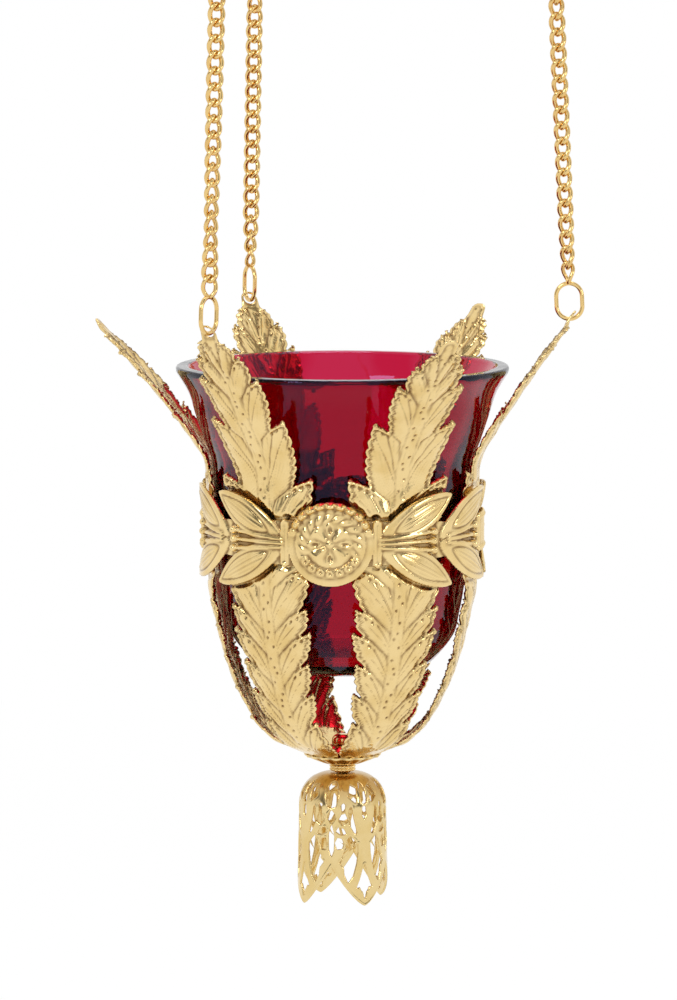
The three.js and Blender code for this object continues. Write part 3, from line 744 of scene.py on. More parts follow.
LEAF_GOLD = Gilding(
    "stamped_leaf_gold", (0.86, 0.65, 0.31), (0.78, 0.56, 0.23), (0.2, 0.1, 0.035), 0.17, 0.025
)
# The bell's tarnish colour also paints the shade on its closed dome
BELL_GOLD = Gilding(
    "pierced_bell_gold", (0.8, 0.62, 0.3), (0.75, 0.55, 0.22), (0.42, 0.19, 0.02), 0.13, 0.01
)
WIRE_GOLD = Gilding(
    "drawn_wire_gold", (0.82, 0.58, 0.24), (0.76, 0.5, 0.19), (0.25, 0.12, 0.03), 0.14, 0.008
)


@dataclass(frozen=True)
class RubyGlass:
    """Pressed ruby glass: clear red through its wall, with a slow wave in its surface."""

    colour: Colour = (0.74, 0.07, 0.17)
    absorbed: Colour = (0.83, 0.012, 0.36)
    density: float = 640.0  # of the absorption, per metre
    roughness: float = 0.02
    refraction: float = 1.5
    gloss: Colour = (0.3, 0.3, 0.6)  # tint of its head-on reflections
    wave: float = 0.25  # height of the wave, in millimetres
    wave_scale: float = 110.0
    upright: float = 0.3  # how much slower the wave runs up the wall

    def material(self) -> Material:
        """The glass as a material whose colour deepens with the length of the light's way."""
        made, n = new_material("ruby_glass_cup")
        place = n.add("ShaderNodeTexCoord").outputs["Object"]
        stretched = {"Vector": place, "Scale": (1.0, 1.0, self.upright)}
        wave = n.noise(n.add("ShaderNodeMapping", stretched).outputs[0], self.wave_scale, 1.0)
        surface = {
            "Base Color": opaque(self.colour),
            "Transmission Weight": 1.0,
            "Roughness": self.roughness,
            "IOR": self.refraction,
            "Specular Tint": opaque(self.gloss),
            "Normal": n.add("ShaderNodeBump", {"Height": wave, "Distance": self.wave * MM}).outputs[0],
        }
        n.fill(n.tree.nodes["Principled BSDF"], surface)
        within = {"Color": opaque(self.absorbed), "Density": self.density}
        volume = n.add("ShaderNodeVolumeAbsorption", within).outputs[0]
        n.fill(n.tree.nodes["Material Output"], {"Volume": volume})
        return made


class Finishes:
    """All finishes of the lamp as materials, each made once."""

    def __init__(self) -> None:
        """Builds the patina once, and each finish with it."""
        patina = Patina().group()
        self.leaf, self.bell, self.wire = (g.material(patina) for g in (LEAF_GOLD, BELL_GOLD, WIRE_GOLD))
        self.glass = RubyGlass().material()


# Sizes that several sub-assemblies share

SHEET = 0.6  # thickness of the stampings
GAP = 0.3  # left between pieces that seat on one another
FIRST_LEAF = math.radians(-5)
LEAF_NAMES = ("right", "rear_right", "rear_left", "left", "front_left", "front_right")
SEAT_RADIUS = 31.75  # of the glass, where it rests in the leaves' waist
SEAT_HEIGHT = 50.9  # above the cup's foot
WAIST_RADIUS = SEAT_RADIUS + GAP + SHEET / 2
WAIST_HEIGHT = height_of("glass_cup")[0] + SEAT_HEIGHT
FOOT_HEIGHT = height_of("inner_rosette")[0] - GAP - SHEET / 2
BAND_RADIUS = WAIST_RADIUS + SHEET + GAP
BAND_MIDDLE = sum(height_of("band_front")) / 2
BAND_END = BAND_RADIUS * math.pi / 2 - GAP / 2  # of a half band, from its middle
BORE = 1.7  # through the pieces on the centre bolt


@dataclass
class Dish:
    """The scalloped dish under the leaves' feet."""

    finish: Material
    radius: float = 9.4
    flat: float = 3.6  # radius of its level middle
    rise: float = 1.9
    curve: float = 1.4
    scallops: int = 18
    scallop_depth: float = 0.4
    flute: float = 0.35
    closer: float = 0.22  # how far the rim is turned up towards the leaves
    rim: Ridge = Ridge(0.15, 0.2, 0.35)

    def rise_at(self, radius: Array | float) -> Array:
        """How far the dish has risen at a radius: a power of the way out from its flat."""
        share = np.maximum(0, (np.asarray(radius, float) - self.flat) / (self.radius - self.flat))
        return self.rise * share**self.curve

    def plan(self, x: Array, y: Array) -> Field:
        """Scallops round the rim, and a flute behind each.

        Args:
            x, y: azimuths and radii.

        Returns:
            The margin and the relief.
        """
        wave = (1 - np.cos(self.scallops * x)) / 2
        margin = np.minimum(self.radius - self.scallop_depth * wave - y, y - BORE)
        flute = self.flute * smooth(self.flat, self.radius, y) * wave
        return margin, self.rim.at(margin) * (y > self.flat) - flute

    def place(self, x: Array, y: Array) -> Surface:
        """Faces the dish down, so that its flutes stand out below.

        Args:
            x, y: azimuths and radii.

        Returns:
            The middle surface.
        """
        height = height_of("outer_rosette")[0] + SHEET / 2 + self.rise_at(y)
        height = height + self.closer * smooth(self.flat, self.radius - 1, y)
        return polar(y, x, height), np.broadcast_to([0.0, 0.0, -1.0], (*x.shape, 3))

    def build(self) -> None:
        """Presses the dish."""
        radii = (BORE - 0.3, self.radius + 0.3)
        step = (0.03, 0.16)
        sheet = PressedSheet(self.plan, self.place, (0, math.tau), radii, step, SHEET, 0.25, wraps=True)
        solid_piece("scalloped_dish", sheet.body(), self.finish, "basket", ["outer_rosette"])


class LeafKind(Enum):
    """How far a leaf leans out from upright at its waist and tip, and whether a chain hangs in it."""

    CHAIN = (math.radians(31), math.radians(36), True)
    FREE = (math.radians(34), math.radians(45), False)

    def __init__(self, at_waist: float, at_tip: float, pierced: bool) -> None:
        """Names the parts of a kind."""
        self.at_waist, self.at_tip, self.pierced = at_waist, at_tip, pierced


@dataclass(frozen=True)
class Lobe:
    """A pair of lobes on the flat leaf."""

    at: float  # its tips' place along the leaf
    half: float  # from the midrib to a tip
    root: float  # where it springs from the midrib
    first: float  # angle at which its scallops start, as seen from its root
    step: float  # angle of one scallop
    plain: bool  # whether its edge has no scallops

    def vein_spread(self, y: Array) -> Array:
        """How far out a vein lies at a place along the leaf: the half width times the climb^1.7."""
        return self.half * (np.maximum(y - self.root, 0.5) / (self.at - self.root)) ** 1.7


@dataclass
class Leaf:
    """One stamped acanthus leaf, from its foot on the dish up to its tip above the cup."""

    name: str
    azimuth: float
    kind: LeafKind
    finish: Material
    dish: Dish
    bands: Sequence["Band"]
    upper_length: float = 43.5  # from the waist to the tip
    foot_radius: float = 2.4
    on_dish: float = 6.5  # radius of a point on the dish's slope
    # The middle line's steps in from the waist, at heights above the foot
    belly: Points = ((18.9, 3.9), (12.9, 8.7), (6.2, 21.0), (2.0, 35.8), (0.5, 44.5))
    belly_straight: float = 12.0
    ease: float = 3.0  # each way, of the bend at the waist
    sample: float = 0.1  # between points of the middle line
    hole_radius: float = 1.5
    hole_to_tip: float = 2.1
    # Lobes: the tip's distance above the waist or height above the foot, its half width, and the
    # half width in the notch above it
    upper_lobes: Triples = ((-1.9, 12.8, 7.9), (14.1, 10.4, 6.4), (26.9, 8.3, 6.0), (33.9, 6.0, 4.6))
    lower_lobes: Triples = (
        (11.6, 7.4, 5.7), (19.0, 8.8, 6.6), (26.6, 9.3, 7.2),
        (34.4, 10.9, 8.4), (40.3, 10.7, 8.8), (50.6, 11.9, 10.2),
    )
    foot_half: float = 5.3
    band_half_width: float = 9.6  # of the leaf behind the band
    sag: float = 7.5  # of a lobe's upper edge, from its tip in to the midrib
    scallop: float = 2.5  # its length
    scallop_depth: float = 0.6
    bulge: float = 0.8  # of a lobe's outer edge
    hook: float = 0.8  # radius of a lobe's tip
    clear: float = 0.25  # from the plane halfway to the next leaf
    # Relief, with offsets in from the edge that it follows or out from the midrib
    face: float = 0.25  # height of a lobe
    swell: float = 0.45  # of a lobe between midrib and edge
    lip_rise: float = 0.42  # of a lobe towards its upper edge
    lip: Ridge = Ridge(0.36, 0.9, 0.2)
    crease: Ridge = Ridge(0.24, 0.4)
    bead_pitch: float = 1.7  # along a lobe's upper edge
    bead: Ridge = Ridge(0.25, 0.4, 0.4)
    dimple: Ridge = Ridge(0.6, 0.36, 1.15)
    scallop_fold: Ridge = Ridge(0.26, 0.13)
    scallop_dimple: Ridge = Ridge(0.45, 0.32, 0.95)
    scallop_rim: Ridge = Ridge(0.34, 0.36, 0.25)
    veins: float = 2.6  # lines that sweep up a lobe
    vein: Ridge = Ridge(0.17, 0.24)
    midrib: Ridge = Ridge(0.25, 1.3)
    midrib_line: Ridge = Ridge(0.13, 0.15, 1.65)
    pit: Ridge = Ridge(0.36, 0.3)
    pit_pitch: float = 2.3  # along the midrib
    tip_rim: Ridge = Ridge(0.35, 0.4, 0.4)
    tip_bead: Ridge = Ridge(0.3, 0.6)
    tip_fade: float = 3.0  # length over which the relief sinks to a quarter at the tip
    ripple: float = 0.14  # depth of the sheet's uneven folds

    def __post_init__(self) -> None:
        """Works out the leaf's middle line and its lobes' places along it."""
        rising = [(r, float(self.dish.rise_at(r))) for r in (self.dish.flat, self.on_dish, self.dish.radius)]
        belly = [(WAIST_RADIUS - inward, height) for inward, height in self.belly]
        top = WAIST_HEIGHT - FOOT_HEIGHT
        waist = [(WAIST_RADIUS, top - self.belly_straight), (WAIST_RADIUS, top)]
        line = Line([(self.foot_radius, 0.0), *rising, *belly, *waist])
        self.waist = line.length
        self.length = line.length + self.upper_length
        self._set_middle_line(line)
        self._set_lobes()

    def _set_middle_line(self, line: Line) -> None:
        """Samples radius, height and slope along the leaf, to a little past its tip.

        Above the waist the slope goes evenly from the lean at the waist to that at the tip. Round
        the waist it is the mean over a window, and the line follows by adding up its steps.

        Args:
            line: the middle line from the foot to the waist.
        """
        s = np.arange(0, self.length + 2, self.sample)
        r, z = line.point(np.minimum(s, self.waist))
        above = (s - self.waist) / self.upper_length
        lean = self.kind.at_waist + (self.kind.at_tip - self.kind.at_waist) * above
        slope = np.where(s < self.waist, np.arctan2(np.gradient(r), np.gradient(z)), lean)
        window = round(2 * self.ease / self.sample) | 1
        padded = np.pad(slope, window // 2, mode="edge")
        eased = np.convolve(padded, np.ones(window) / window, mode="valid")
        slope = np.where(np.abs(s - self.waist) < 2 * self.ease, eased, slope)
        slope = np.where(s < self.waist, np.minimum(slope, math.pi / 2), slope)
        start = int((self.waist - 2 * self.ease) / self.sample)
        for values, run in ((r, np.sin(slope)), (z, np.cos(slope))):
            steps = np.cumsum(run[start:-1] * self.sample)
            values[start:] = values[start] + np.concatenate([[0], steps])
        self.s, self.r, self.z, self.slope = s, r, z + FOOT_HEIGHT, slope

    def _set_lobes(self) -> None:
        """Lays out the lobes along the flat leaf, and its outline with their scallops."""

        def along(height: float) -> float:
            """The length up the leaf to a height above its foot."""
            return float(np.interp(FOOT_HEIGHT + height, self.z, self.s))

        below = self.s < self.waist
        self.dish_edge = float(np.interp(self.dish.radius, self.r[below], self.s[below]))
        tip, eye = self.length, self.hole_radius + SHEET
        lobes = [(along(at), half, notch) for at, half, notch in self.lower_lobes]
        lobes += [(along(BAND_MIDDLE - FOOT_HEIGHT), self.band_half_width, self.band_half_width)]
        lobes += [(self.waist + at, half, notch) for at, half, notch in self.upper_lobes]
        lobes += [(tip - self.hole_to_tip - eye, eye + 0.5, eye + 0.5)]
        side = [np.array([[self.foot_half, 0.2], [self.foot_half, self.dish_edge]])]
        self.lobes = []
        root = self.dish_edge - 4.5
        for at, half, notch in lobes:
            plain = half == self.band_half_width
            edge, first, step = self._outer_edge(side[-1][-1], np.array([half, at]), root, plain)
            side.append(edge)
            if notch < half:
                side.append(self._upper_edge(at, half, notch))
            self.lobes.append(Lobe(at, half, root, first, step, plain))
            root = at - self.sag - 1.5
        side.append(arc((0, tip - self.hole_to_tip), self.hole_to_tip, 0, math.pi / 2, 10)[:-1])
        half_outline = np.vstack(side)
        self.outline = np.vstack([half_outline, half_outline[::-1] * [-1, 1]])

    def _outer_edge(self, before: Array, end: Array, root: float, plain: bool) -> tuple[Array, float, float]:
        """A lobe's outer edge from the notch below it to its tip, with its scallops.

        The scallops are evenly spaced by their angle as seen from the lobe's root.

        Args:
            before, end: the notch and the tip.
            root: where the lobe's root lies along the midrib.
            plain: whether the edge has no scallops.

        Returns:
            The edge's points, the angle of the notch and the angle of one scallop.
        """
        start_angle, end_angle = (math.atan2(x, y - root) for x, y in (before, end))
        length = float(np.hypot(*(end - before)))
        count = 1 if plain else max(2, round(length / self.scallop))
        t = np.linspace(0, 1, 9 * count + 1)[1:, None]
        run = (end - before) / length
        outward = np.array([run[1], -run[0]])
        edge = before + (end - before) * t + outward * self.bulge * np.sin(math.pi * t)
        angle = np.arctan2(edge[:, 0], edge[:, 1] - root)
        phase = count * (start_angle - angle) / (start_angle - end_angle)
        wave = np.zeros(len(t)) if plain else np.abs(np.sin(math.pi * phase)) ** 0.8 - 0.45
        edge += outward * (self.scallop_depth * wave * np.minimum(1, 6 * t[:, 0]))[:, None]
        return edge, start_angle, (start_angle - end_angle) / count

    def _upper_edge(self, at: float, half: float, notch: float) -> Array:
        """A lobe's upper edge: a round hook at the tip, then beads inwards to the notch.

        Args:
            at: the tip's place along the leaf.
            half, notch: half widths at the tip and in the notch.

        Returns:
            The edge's points.
        """
        hook = arc((half - 0.55, at - 0.35), self.hook, -0.2 * math.pi, 0.6 * math.pi, 7)
        across = np.linspace(half - 0.3, notch, 15)
        bead = 0.2 * np.abs(np.sin(math.pi * (half - across) / self.bead_pitch))
        edge = np.column_stack([across, self._top(at, half, across) + bead])
        return np.vstack([hook, edge[2:]])

    def _top(self, at: float, half: float, across: Array) -> Array:
        """A lobe's upper edge: level at the tip, and lower by the sag at the midrib."""
        return at - self.sag * np.clip(1 - across / half, 0, 1) ** 1.6

    def plan(self, x: Array, y: Array) -> Field:
        """The leaf laid flat.

        Each pair of lobes lies like a shingle over the foot of the next pair: it rises from the
        crease under its neighbour's upper edge to its own, which curls outward in beads.

        Args:
            x, y: places across the leaf and along it from its foot.

        Returns:
            The margin and the relief.
        """
        a = np.abs(x)
        margin = polygon_margin(x, y, self.outline)
        relief = np.zeros_like(a)
        under = np.full_like(a, self.dish_edge - 3)
        for lobe in self.lobes:
            top = self._top(lobe.at, lobe.half, a)
            height = self._shingle(a, y, under, top, lobe.half)
            if not lobe.plain:
                height = height + self._scallop_beads(a, y, margin, lobe)
            height = height - self._vein_lines(a, y, lobe)
            relief = np.where((y > under) & (y <= top), height, relief)
            under = top
        tip = self.face + self.tip_rim.at(margin) + self.tip_bead.at(np.hypot(a, y - self.length + 2.2))
        relief = np.where(y > under, tip, relief) + self.ripple * self._ripples(x, y)
        relief = np.maximum(relief + self._midrib_relief(x, y), 0.02)
        relief = relief * faded(0.15, smooth(0.2, 1.5, -self._behind_band(x, y)))
        relief = relief * smooth(9.0, 15.0, y)
        relief = relief * faded(0.25, smooth(self.length, self.length - self.tip_fade, y))
        sector = np.interp(y, self.s, self.r) * math.tan(math.pi / 6) - self.clear
        margin = np.minimum(margin, sector - a)
        if self.kind.pierced:
            hole = np.hypot(x, y - (self.length - self.hole_to_tip)) - self.hole_radius
            margin = np.minimum(margin, hole)
            relief = relief * smooth(0.3, 1.6, hole)
        return margin, relief

    def _ripples(self, x: Array, y: Array) -> Array:
        """Slow uneven folds of the thin sheet, from -1 to 1."""
        fold = 0.55 * y + 0.9 * np.sin(0.31 * x + 1.7)
        return np.sin(0.8 * x + 2.1 * np.sin(0.27 * y)) * np.sin(fold)

    def _behind_band(self, x: Array, y: Array) -> Array:
        """How far inside the outline of the band in front a place on the leaf lies.

        Args:
            x, y: places on the flat leaf.

        Returns:
            The band's margin there, at least -9.
        """
        height = np.interp(y, self.s, self.z) - BAND_MIDDLE
        azimuth = self.azimuth + x / WAIST_RADIUS
        inside = np.full_like(x, -9.0)
        for band in self.bands:
            turn = nearest(azimuth - band.azimuth, math.tau)
            inside = np.maximum(inside, band.plan(turn * BAND_RADIUS, height)[0])
        return inside

    def _shingle(self, a: Array, y: Array, under: Array, top: Array, half: float) -> Array:
        """Height of a pair of lobes: low at its foot, with a beaded lip at its upper edge.

        Args:
            a, y: distances from the midrib and places along the leaf.
            under, top: where the pair's lower and upper edges run.
            half: its half width.

        Returns:
            The height.
        """
        share = np.clip((y - under) / np.maximum(top - under, 0.5), 0, 1)
        out = smooth(0.3 * half, 0.85 * half, a)
        below = top - y
        lip = self.lip_rise * out * smooth(0.3, 1.0, share) + out * self.lip.at(below)
        off = nearest((half - a) / self.bead_pitch - 0.5, 1)
        beads = self.bead.at(below) * bump(off, 0.3) - self.dimple.at(below) * bump(off, 0.22)
        swell = self.swell * np.sin(math.pi * np.clip(a / half, 0, 1)) * np.sin(math.pi * share)
        crease = self.crease.at(below) * smooth(0.18 * half, 0.5 * half, a)
        return self.face + swell + lip + beads * smooth(0.4 * half, 0.6 * half, a) - crease

    def _scallop_beads(self, a: Array, y: Array, margin: Array, lobe: Lobe) -> Array:
        """The turned-up edge of the scallops, with a fold between them and a dimple in each.

        Args:
            a, y: distances from the midrib and places along the leaf.
            margin: distances inside the leaf's edge.
            lobe: the pair of lobes.

        Returns:
            The height above the plain lobe.
        """
        phase = (lobe.first - np.arctan2(a, y - lobe.root)) / lobe.step
        off = np.abs(nearest(phase, 1))
        folds = self.scallop_fold.at(off) * smooth(2.6, 0.3, margin)
        dimples = bump(0.5 - off, 0.18) * self.scallop_dimple.at(margin)
        return self.scallop_rim.at(margin) - folds - dimples

    def _vein_lines(self, a: Array, y: Array, lobe: Lobe) -> Array:
        """Depth of the fine lines that leave the midrib almost along it and sweep out up the lobe.

        Args:
            a, y: distances from the midrib and places along the leaf.
            lobe: the pair of lobes.

        Returns:
            The depth.
        """
        spread = lobe.vein_spread(y)
        sweep = self.veins * a / spread
        off = np.abs(nearest(sweep, 1)) / np.maximum(self.veins / spread, 1e-3)
        shown = (sweep > 0.5) & (sweep < self.veins + 0.4)
        return self.vein.at(off) * shown * smooth(1.4, 2.6, a)

    def _midrib_relief(self, x: Array, y: Array) -> Array:
        """The flat midrib between two fine lines, with pits at uneven steps along it.

        Args:
            x, y: places on the flat leaf.

        Returns:
            The height.
        """
        place = y / self.pit_pitch
        index = np.round(place)
        side = 0.8 * np.sin(2.4 * index)
        shift = 0.25 * np.sin(1.7 * index)
        pits = self.pit.at(np.hypot(x - side, (place - index - shift) * self.pit_pitch))
        rib = self.midrib.at(x) - pits - self.midrib_line.at(np.abs(x))
        return rib * smooth(self.length - 4, self.length - 9, y)

    def place(self, x: Array, y: Array) -> Surface:
        """Bends the flat leaf along its middle line, and round the basket across its width.

        Args:
            x, y: places on the flat leaf.

        Returns:
            The middle surface.
        """
        r, z, slope = (np.interp(y, self.s, values) for values in (self.r, self.z, self.slope))
        level = np.maximum(np.cos(slope), 0.02)
        round_ = np.where(y < self.waist, np.minimum(r / level, WAIST_RADIUS), WAIST_RADIUS)
        turn = x / round_
        nx, nz = np.cos(slope), -np.sin(slope)
        back = round_ * (1 - np.cos(turn))
        points = np.stack([r - nx * back, round_ * np.sin(turn), z - nz * back], axis=-1)
        normals = np.stack([nx * np.cos(turn), np.sin(turn), nz * np.cos(turn)], axis=-1)
        return about_z(points, self.azimuth), about_z(normals, self.azimuth)

    def build(self) -> None:
        """Presses the leaf."""
        sheet = PressedSheet(self.plan, self.place, (-14.4, 14.4), (-0.4, self.length + 0.6), step=0.3)
        node = "leaf_" + self.name
        solid_piece("acanthus_" + node, sheet.body(), self.finish, "basket", [node])


@dataclass(frozen=True)
class Petal:
    """A petal on the flat band, from its root to its tip.

    The share t runs along the chord from root to tip. The half width is width * sin(pi t)^blunt,
    and the side d = offset / half width runs from -1 to 1.
    """

    root: tuple[float, float]
    tip: tuple[float, float]
    width: float = 3.9
    blunt: float = 0.62

    def at(self, x: Array, y: Array) -> tuple[Array, Array, Array]:
        """The shares t and d and the margin at points of the plan.

        Args:
            x, y: the points.

        Returns:
            The share along the petal, the share across it and the distance inside its edge.
        """
        run = np.subtract(self.tip, self.root)
        length = float(np.hypot(*run))
        ex, ey = run / length
        t = ((x - self.root[0]) * ex + (y - self.root[1]) * ey) / length
        s = (x - self.root[0]) * ey - (y - self.root[1]) * ex
        half = self.width * np.maximum(np.sin(math.pi * np.clip(t, 0, 1)), 1e-6) ** self.blunt
        beyond = (np.abs(t - 0.5) - 0.5) * length
        margin = np.where(beyond > 0, np.minimum(half - np.abs(s), -beyond), half - np.abs(s))
        return t, np.clip(s / np.maximum(half, 1e-3), -1.5, 1.5), margin


@dataclass(frozen=True)
class Stamen:
    """A thread from a flower's root on the flat band, with a bead at its end."""

    root: tuple[float, float]
    end: tuple[float, float]
    half: float = 0.45  # half its width
    anther: float = 0.95  # radius of its bead

    def shape(self, a: Array, b: Array) -> Field:
        """A half-round thread that ends in a ball.

        Args:
            a, b: distances from the medallion's middle and the middle line.

        Returns:
            The margin and the height.
        """
        run = np.subtract(self.end, self.root)
        length = math.hypot(*run)
        ex, ey = run / length
        t = np.clip((a - self.root[0]) * ex + (b - self.root[1]) * ey, 0, length)
        off = np.hypot(a - self.root[0] - t * ex, b - self.root[1] - t * ey)
        bead = np.hypot(a - self.end[0], b - self.end[1])
        thread = 0.55 + 0.5 * dome(off / self.half)
        height = np.where(bead < self.anther, np.maximum(0.85 + ball(self.anther, bead), thread), thread)
        return np.maximum(self.half - off, self.anther - bead), height


@dataclass
class Band:
    """Half of the band: a medallion, and on each side a tie, two tiers of petals and a clasp."""

    node: str
    azimuth: float
    finish: Material
    core: Points = ((0, 6), (12, 5.4), (26, 4.4), (34, 4.2), (53, 4.2))  # half width along it
    core_relief: float = 0.05
    medallion: float = 10.2
    disc: float = 8.3  # of its inner disc
    disc_line: Ridge = Ridge(0.25, 0.3)
    gadroons: int = 12
    bead_row: float = 7.0
    beads: int = 20
    ring_bead: Ridge = Ridge(0.55, 0.28, 0.6)
    bead_line: Ridge = Ridge(0.25, 0.25, -1.2)
    rosette_pit: Ridge = Ridge(0.45, 0.8, 3.3)
    scroll: Ridge = Ridge(0.3, 0.28, 1.3)
    wreath: Ridge = Ridge(0.42, 0.8, 6.3)
    centre_bead: Ridge = Ridge(0.6, 0.7)
    tie_at: float = 11.0
    tie_half: float = 1.1
    tie_height: float = 5.2
    tie_ball: float = 0.7
    tie_line: Ridge = Ridge(0.1, 0.3)
    petals: tuple[Petal, ...] = (Petal((11.6, 0.5), (31.4, 10.8)), Petal((28.0, 0.7), (49.2, 10.7)))
    petal_crease: Ridge = Ridge(0.24, 0.09, 1.0)
    keel: Ridge = Ridge(0.12, 0.08)
    stamens: tuple[Stamen, ...] = (
        Stamen((11.5, 0.0), (25.6, 0.0)),
        Stamen((11.8, 0.9), (25.8, 2.2)),
        Stamen((30.5, 0.0), (42.5, 0.0)),
        Stamen((30.5, 0.8), (42.0, 2.3)),
    )
    clasp: float = 45.5  # where the ribbed clasp at the half band's end begins
    clasp_ribs: int = 4
    clasp_bead: Ridge = Ridge(0.35, 0.7)

    def plan(self, x: Array, y: Array) -> Field:
        """The half band laid flat, where the highest of its parts shows.

        Args:
            x, y: places along it from the medallion's middle, and up from its middle line.

        Returns:
            The margin and the relief.
        """
        a, b = np.abs(x), np.abs(y)
        margin = np.interp(a, *np.transpose(self.core)) - b
        relief = np.full_like(a, self.core_relief)
        parts = [self._medallion(x, y), self._tie(a, b), self._clasp(a, b)]
        parts += [self._petal(petal, a, b) for petal in self.petals]
        parts += [stamen.shape(a, b) for stamen in self.stamens]
        for inside, height in parts:
            relief = np.where(inside > -0.02, np.maximum(relief, height), relief)
            margin = np.maximum(margin, inside)
        return np.minimum(margin, BAND_END - a), relief

    def _medallion(self, x: Array, y: Array) -> Field:
        """A disc with gadroons along its upper rim, ring beads along its foot and a rosette.

        Args:
            x, y: places from its middle.

        Returns:
            The margin and the height.
        """
        r = np.hypot(x, y)
        turn = np.arctan2(y, x)
        upper = smooth(0.1, 0.5, np.sin(turn))
        flutes = np.abs(np.sin(self.gadroons * (turn - math.pi / 2) + math.pi / 2)) ** 0.6
        margin = self.medallion - r - 0.35 * upper * (1 - flutes)
        height = 0.75 + 0.55 * dome(r / self.disc)
        height = height + upper * (0.3 + 1.25 * flutes) * bump(r - self.medallion + 1.15, 1.0)
        height = height - self.disc_line.at(r - self.disc) * upper
        off = nearest(turn + math.pi / 2, math.tau / self.beads)
        ring = np.hypot(r - self.bead_row, off * self.bead_row)
        beads = self.ring_bead.at(ring) - self.bead_line.at(r - self.bead_row)
        height = height + beads * smooth(-0.35, -0.6, np.sin(turn))
        return margin, height + self._rosette(r, turn)

    def _rosette(self, r: Array, turn: Array) -> Array:
        """A round flower of four ribs and four pits about a bead, in a wreath of small leaves.

        Args:
            r, turn: distances and angles from the medallion's middle.

        Returns:
            The height.
        """
        rib = 0.6 * np.abs(np.sin(2 * turn)) ** 6 * smooth(0.9, 1.8, r) * smooth(5.4, 4.2, r)
        pit = np.abs(np.cos(2 * turn)) ** 6 * self.rosette_pit.at(r)
        scroll = self.scroll.at(np.hypot(np.abs(r * np.cos(2 * turn)) - 3.6, r * np.sin(2 * turn)))
        leaves = np.abs(np.sin(9 * turn + 0.9 * r)) ** 1.5 * smooth(-0.7, -0.2, np.sin(turn))
        return rib - pit + leaves * self.wreath.at(r) + scroll + self.centre_bead.at(r)

    def _tie(self, a: Array, b: Array) -> Field:
        """A low upright strap between the petals and the medallion, with beads at its ends.

        Args:
            a, b: distances from the medallion's middle and the middle line.

        Returns:
            The margin and the height.
        """
        off = np.abs(a - self.tie_at)
        bar = np.minimum(self.tie_half - off, self.tie_height - b)
        away = np.hypot(off, b - self.tie_height)
        height = np.where(bar > 0, 0.5 + 0.35 * dome(off / self.tie_half) - self.tie_line.at(off), 0)
        beads = np.where(away < self.tie_ball, 0.5 + ball(self.tie_ball, away), 0)
        return np.maximum(bar, self.tie_ball - away), np.maximum(height, beads)

    def _clasp(self, a: Array, b: Array) -> Field:
        """Upright half-round ribs with beads at their ends, side by side up to the half band's end.

        Args:
            a, b: distances from the medallion's middle and the middle line.

        Returns:
            The margin and the height.
        """
        pitch = (BAND_END - self.clasp) / self.clasp_ribs
        off = 2 * nearest((a - self.clasp) / pitch - 0.5, 1)
        top = self.core[-1][1]
        margin = np.minimum(a - self.clasp, top + 0.5 * dome(off) - b)
        beads = self.clasp_bead.at(np.hypot(off, (b - top + 0.5) / 0.6))
        return margin, 0.35 + 0.45 * dome(off) + beads

    def _petal(self, petal: Petal, a: Array, b: Array) -> Field:
        """A petal with a raised inner leaf, a crease round it and a keel along its middle.

        Args:
            petal: its shape on the plan.
            a, b: distances from the medallion's middle and the middle line.

        Returns:
            The margin and the height.
        """
        t, d, margin = petal.at(a, b)
        inner = np.hypot(d / 0.62, (t - 0.56) / 0.36)
        height = 0.45 + 0.75 * dome(d) * smooth(-0.1, 0.5, t)
        height = height + 0.4 * smooth(0.3, 1.0, -d) * smooth(0.3, 0.9, t)
        height = height - self.petal_crease.at(inner) + self.keel.at(d) * smooth(1.0, 0.8, inner)
        return margin, height + 0.05 * np.cos(8 * math.pi * d) * smooth(1.0, 0.85, inner)

    def place(self, x: Array, y: Array) -> Surface:
        """Bends the band round the basket."""
        turn = self.azimuth + x / BAND_RADIUS
        return polar(BAND_RADIUS, turn, BAND_MIDDLE + y), polar(1.0, turn, 0.0)

    def build(self) -> None:
        """Presses the half band."""
        reach = BAND_RADIUS * math.pi / 2 + 0.3
        sheet = PressedSheet(self.plan, self.place, (-reach, reach), (-11.6, 11.6), step=0.27)
        solid_piece("petal_" + self.node, sheet.body(), self.finish, "basket", [self.node])


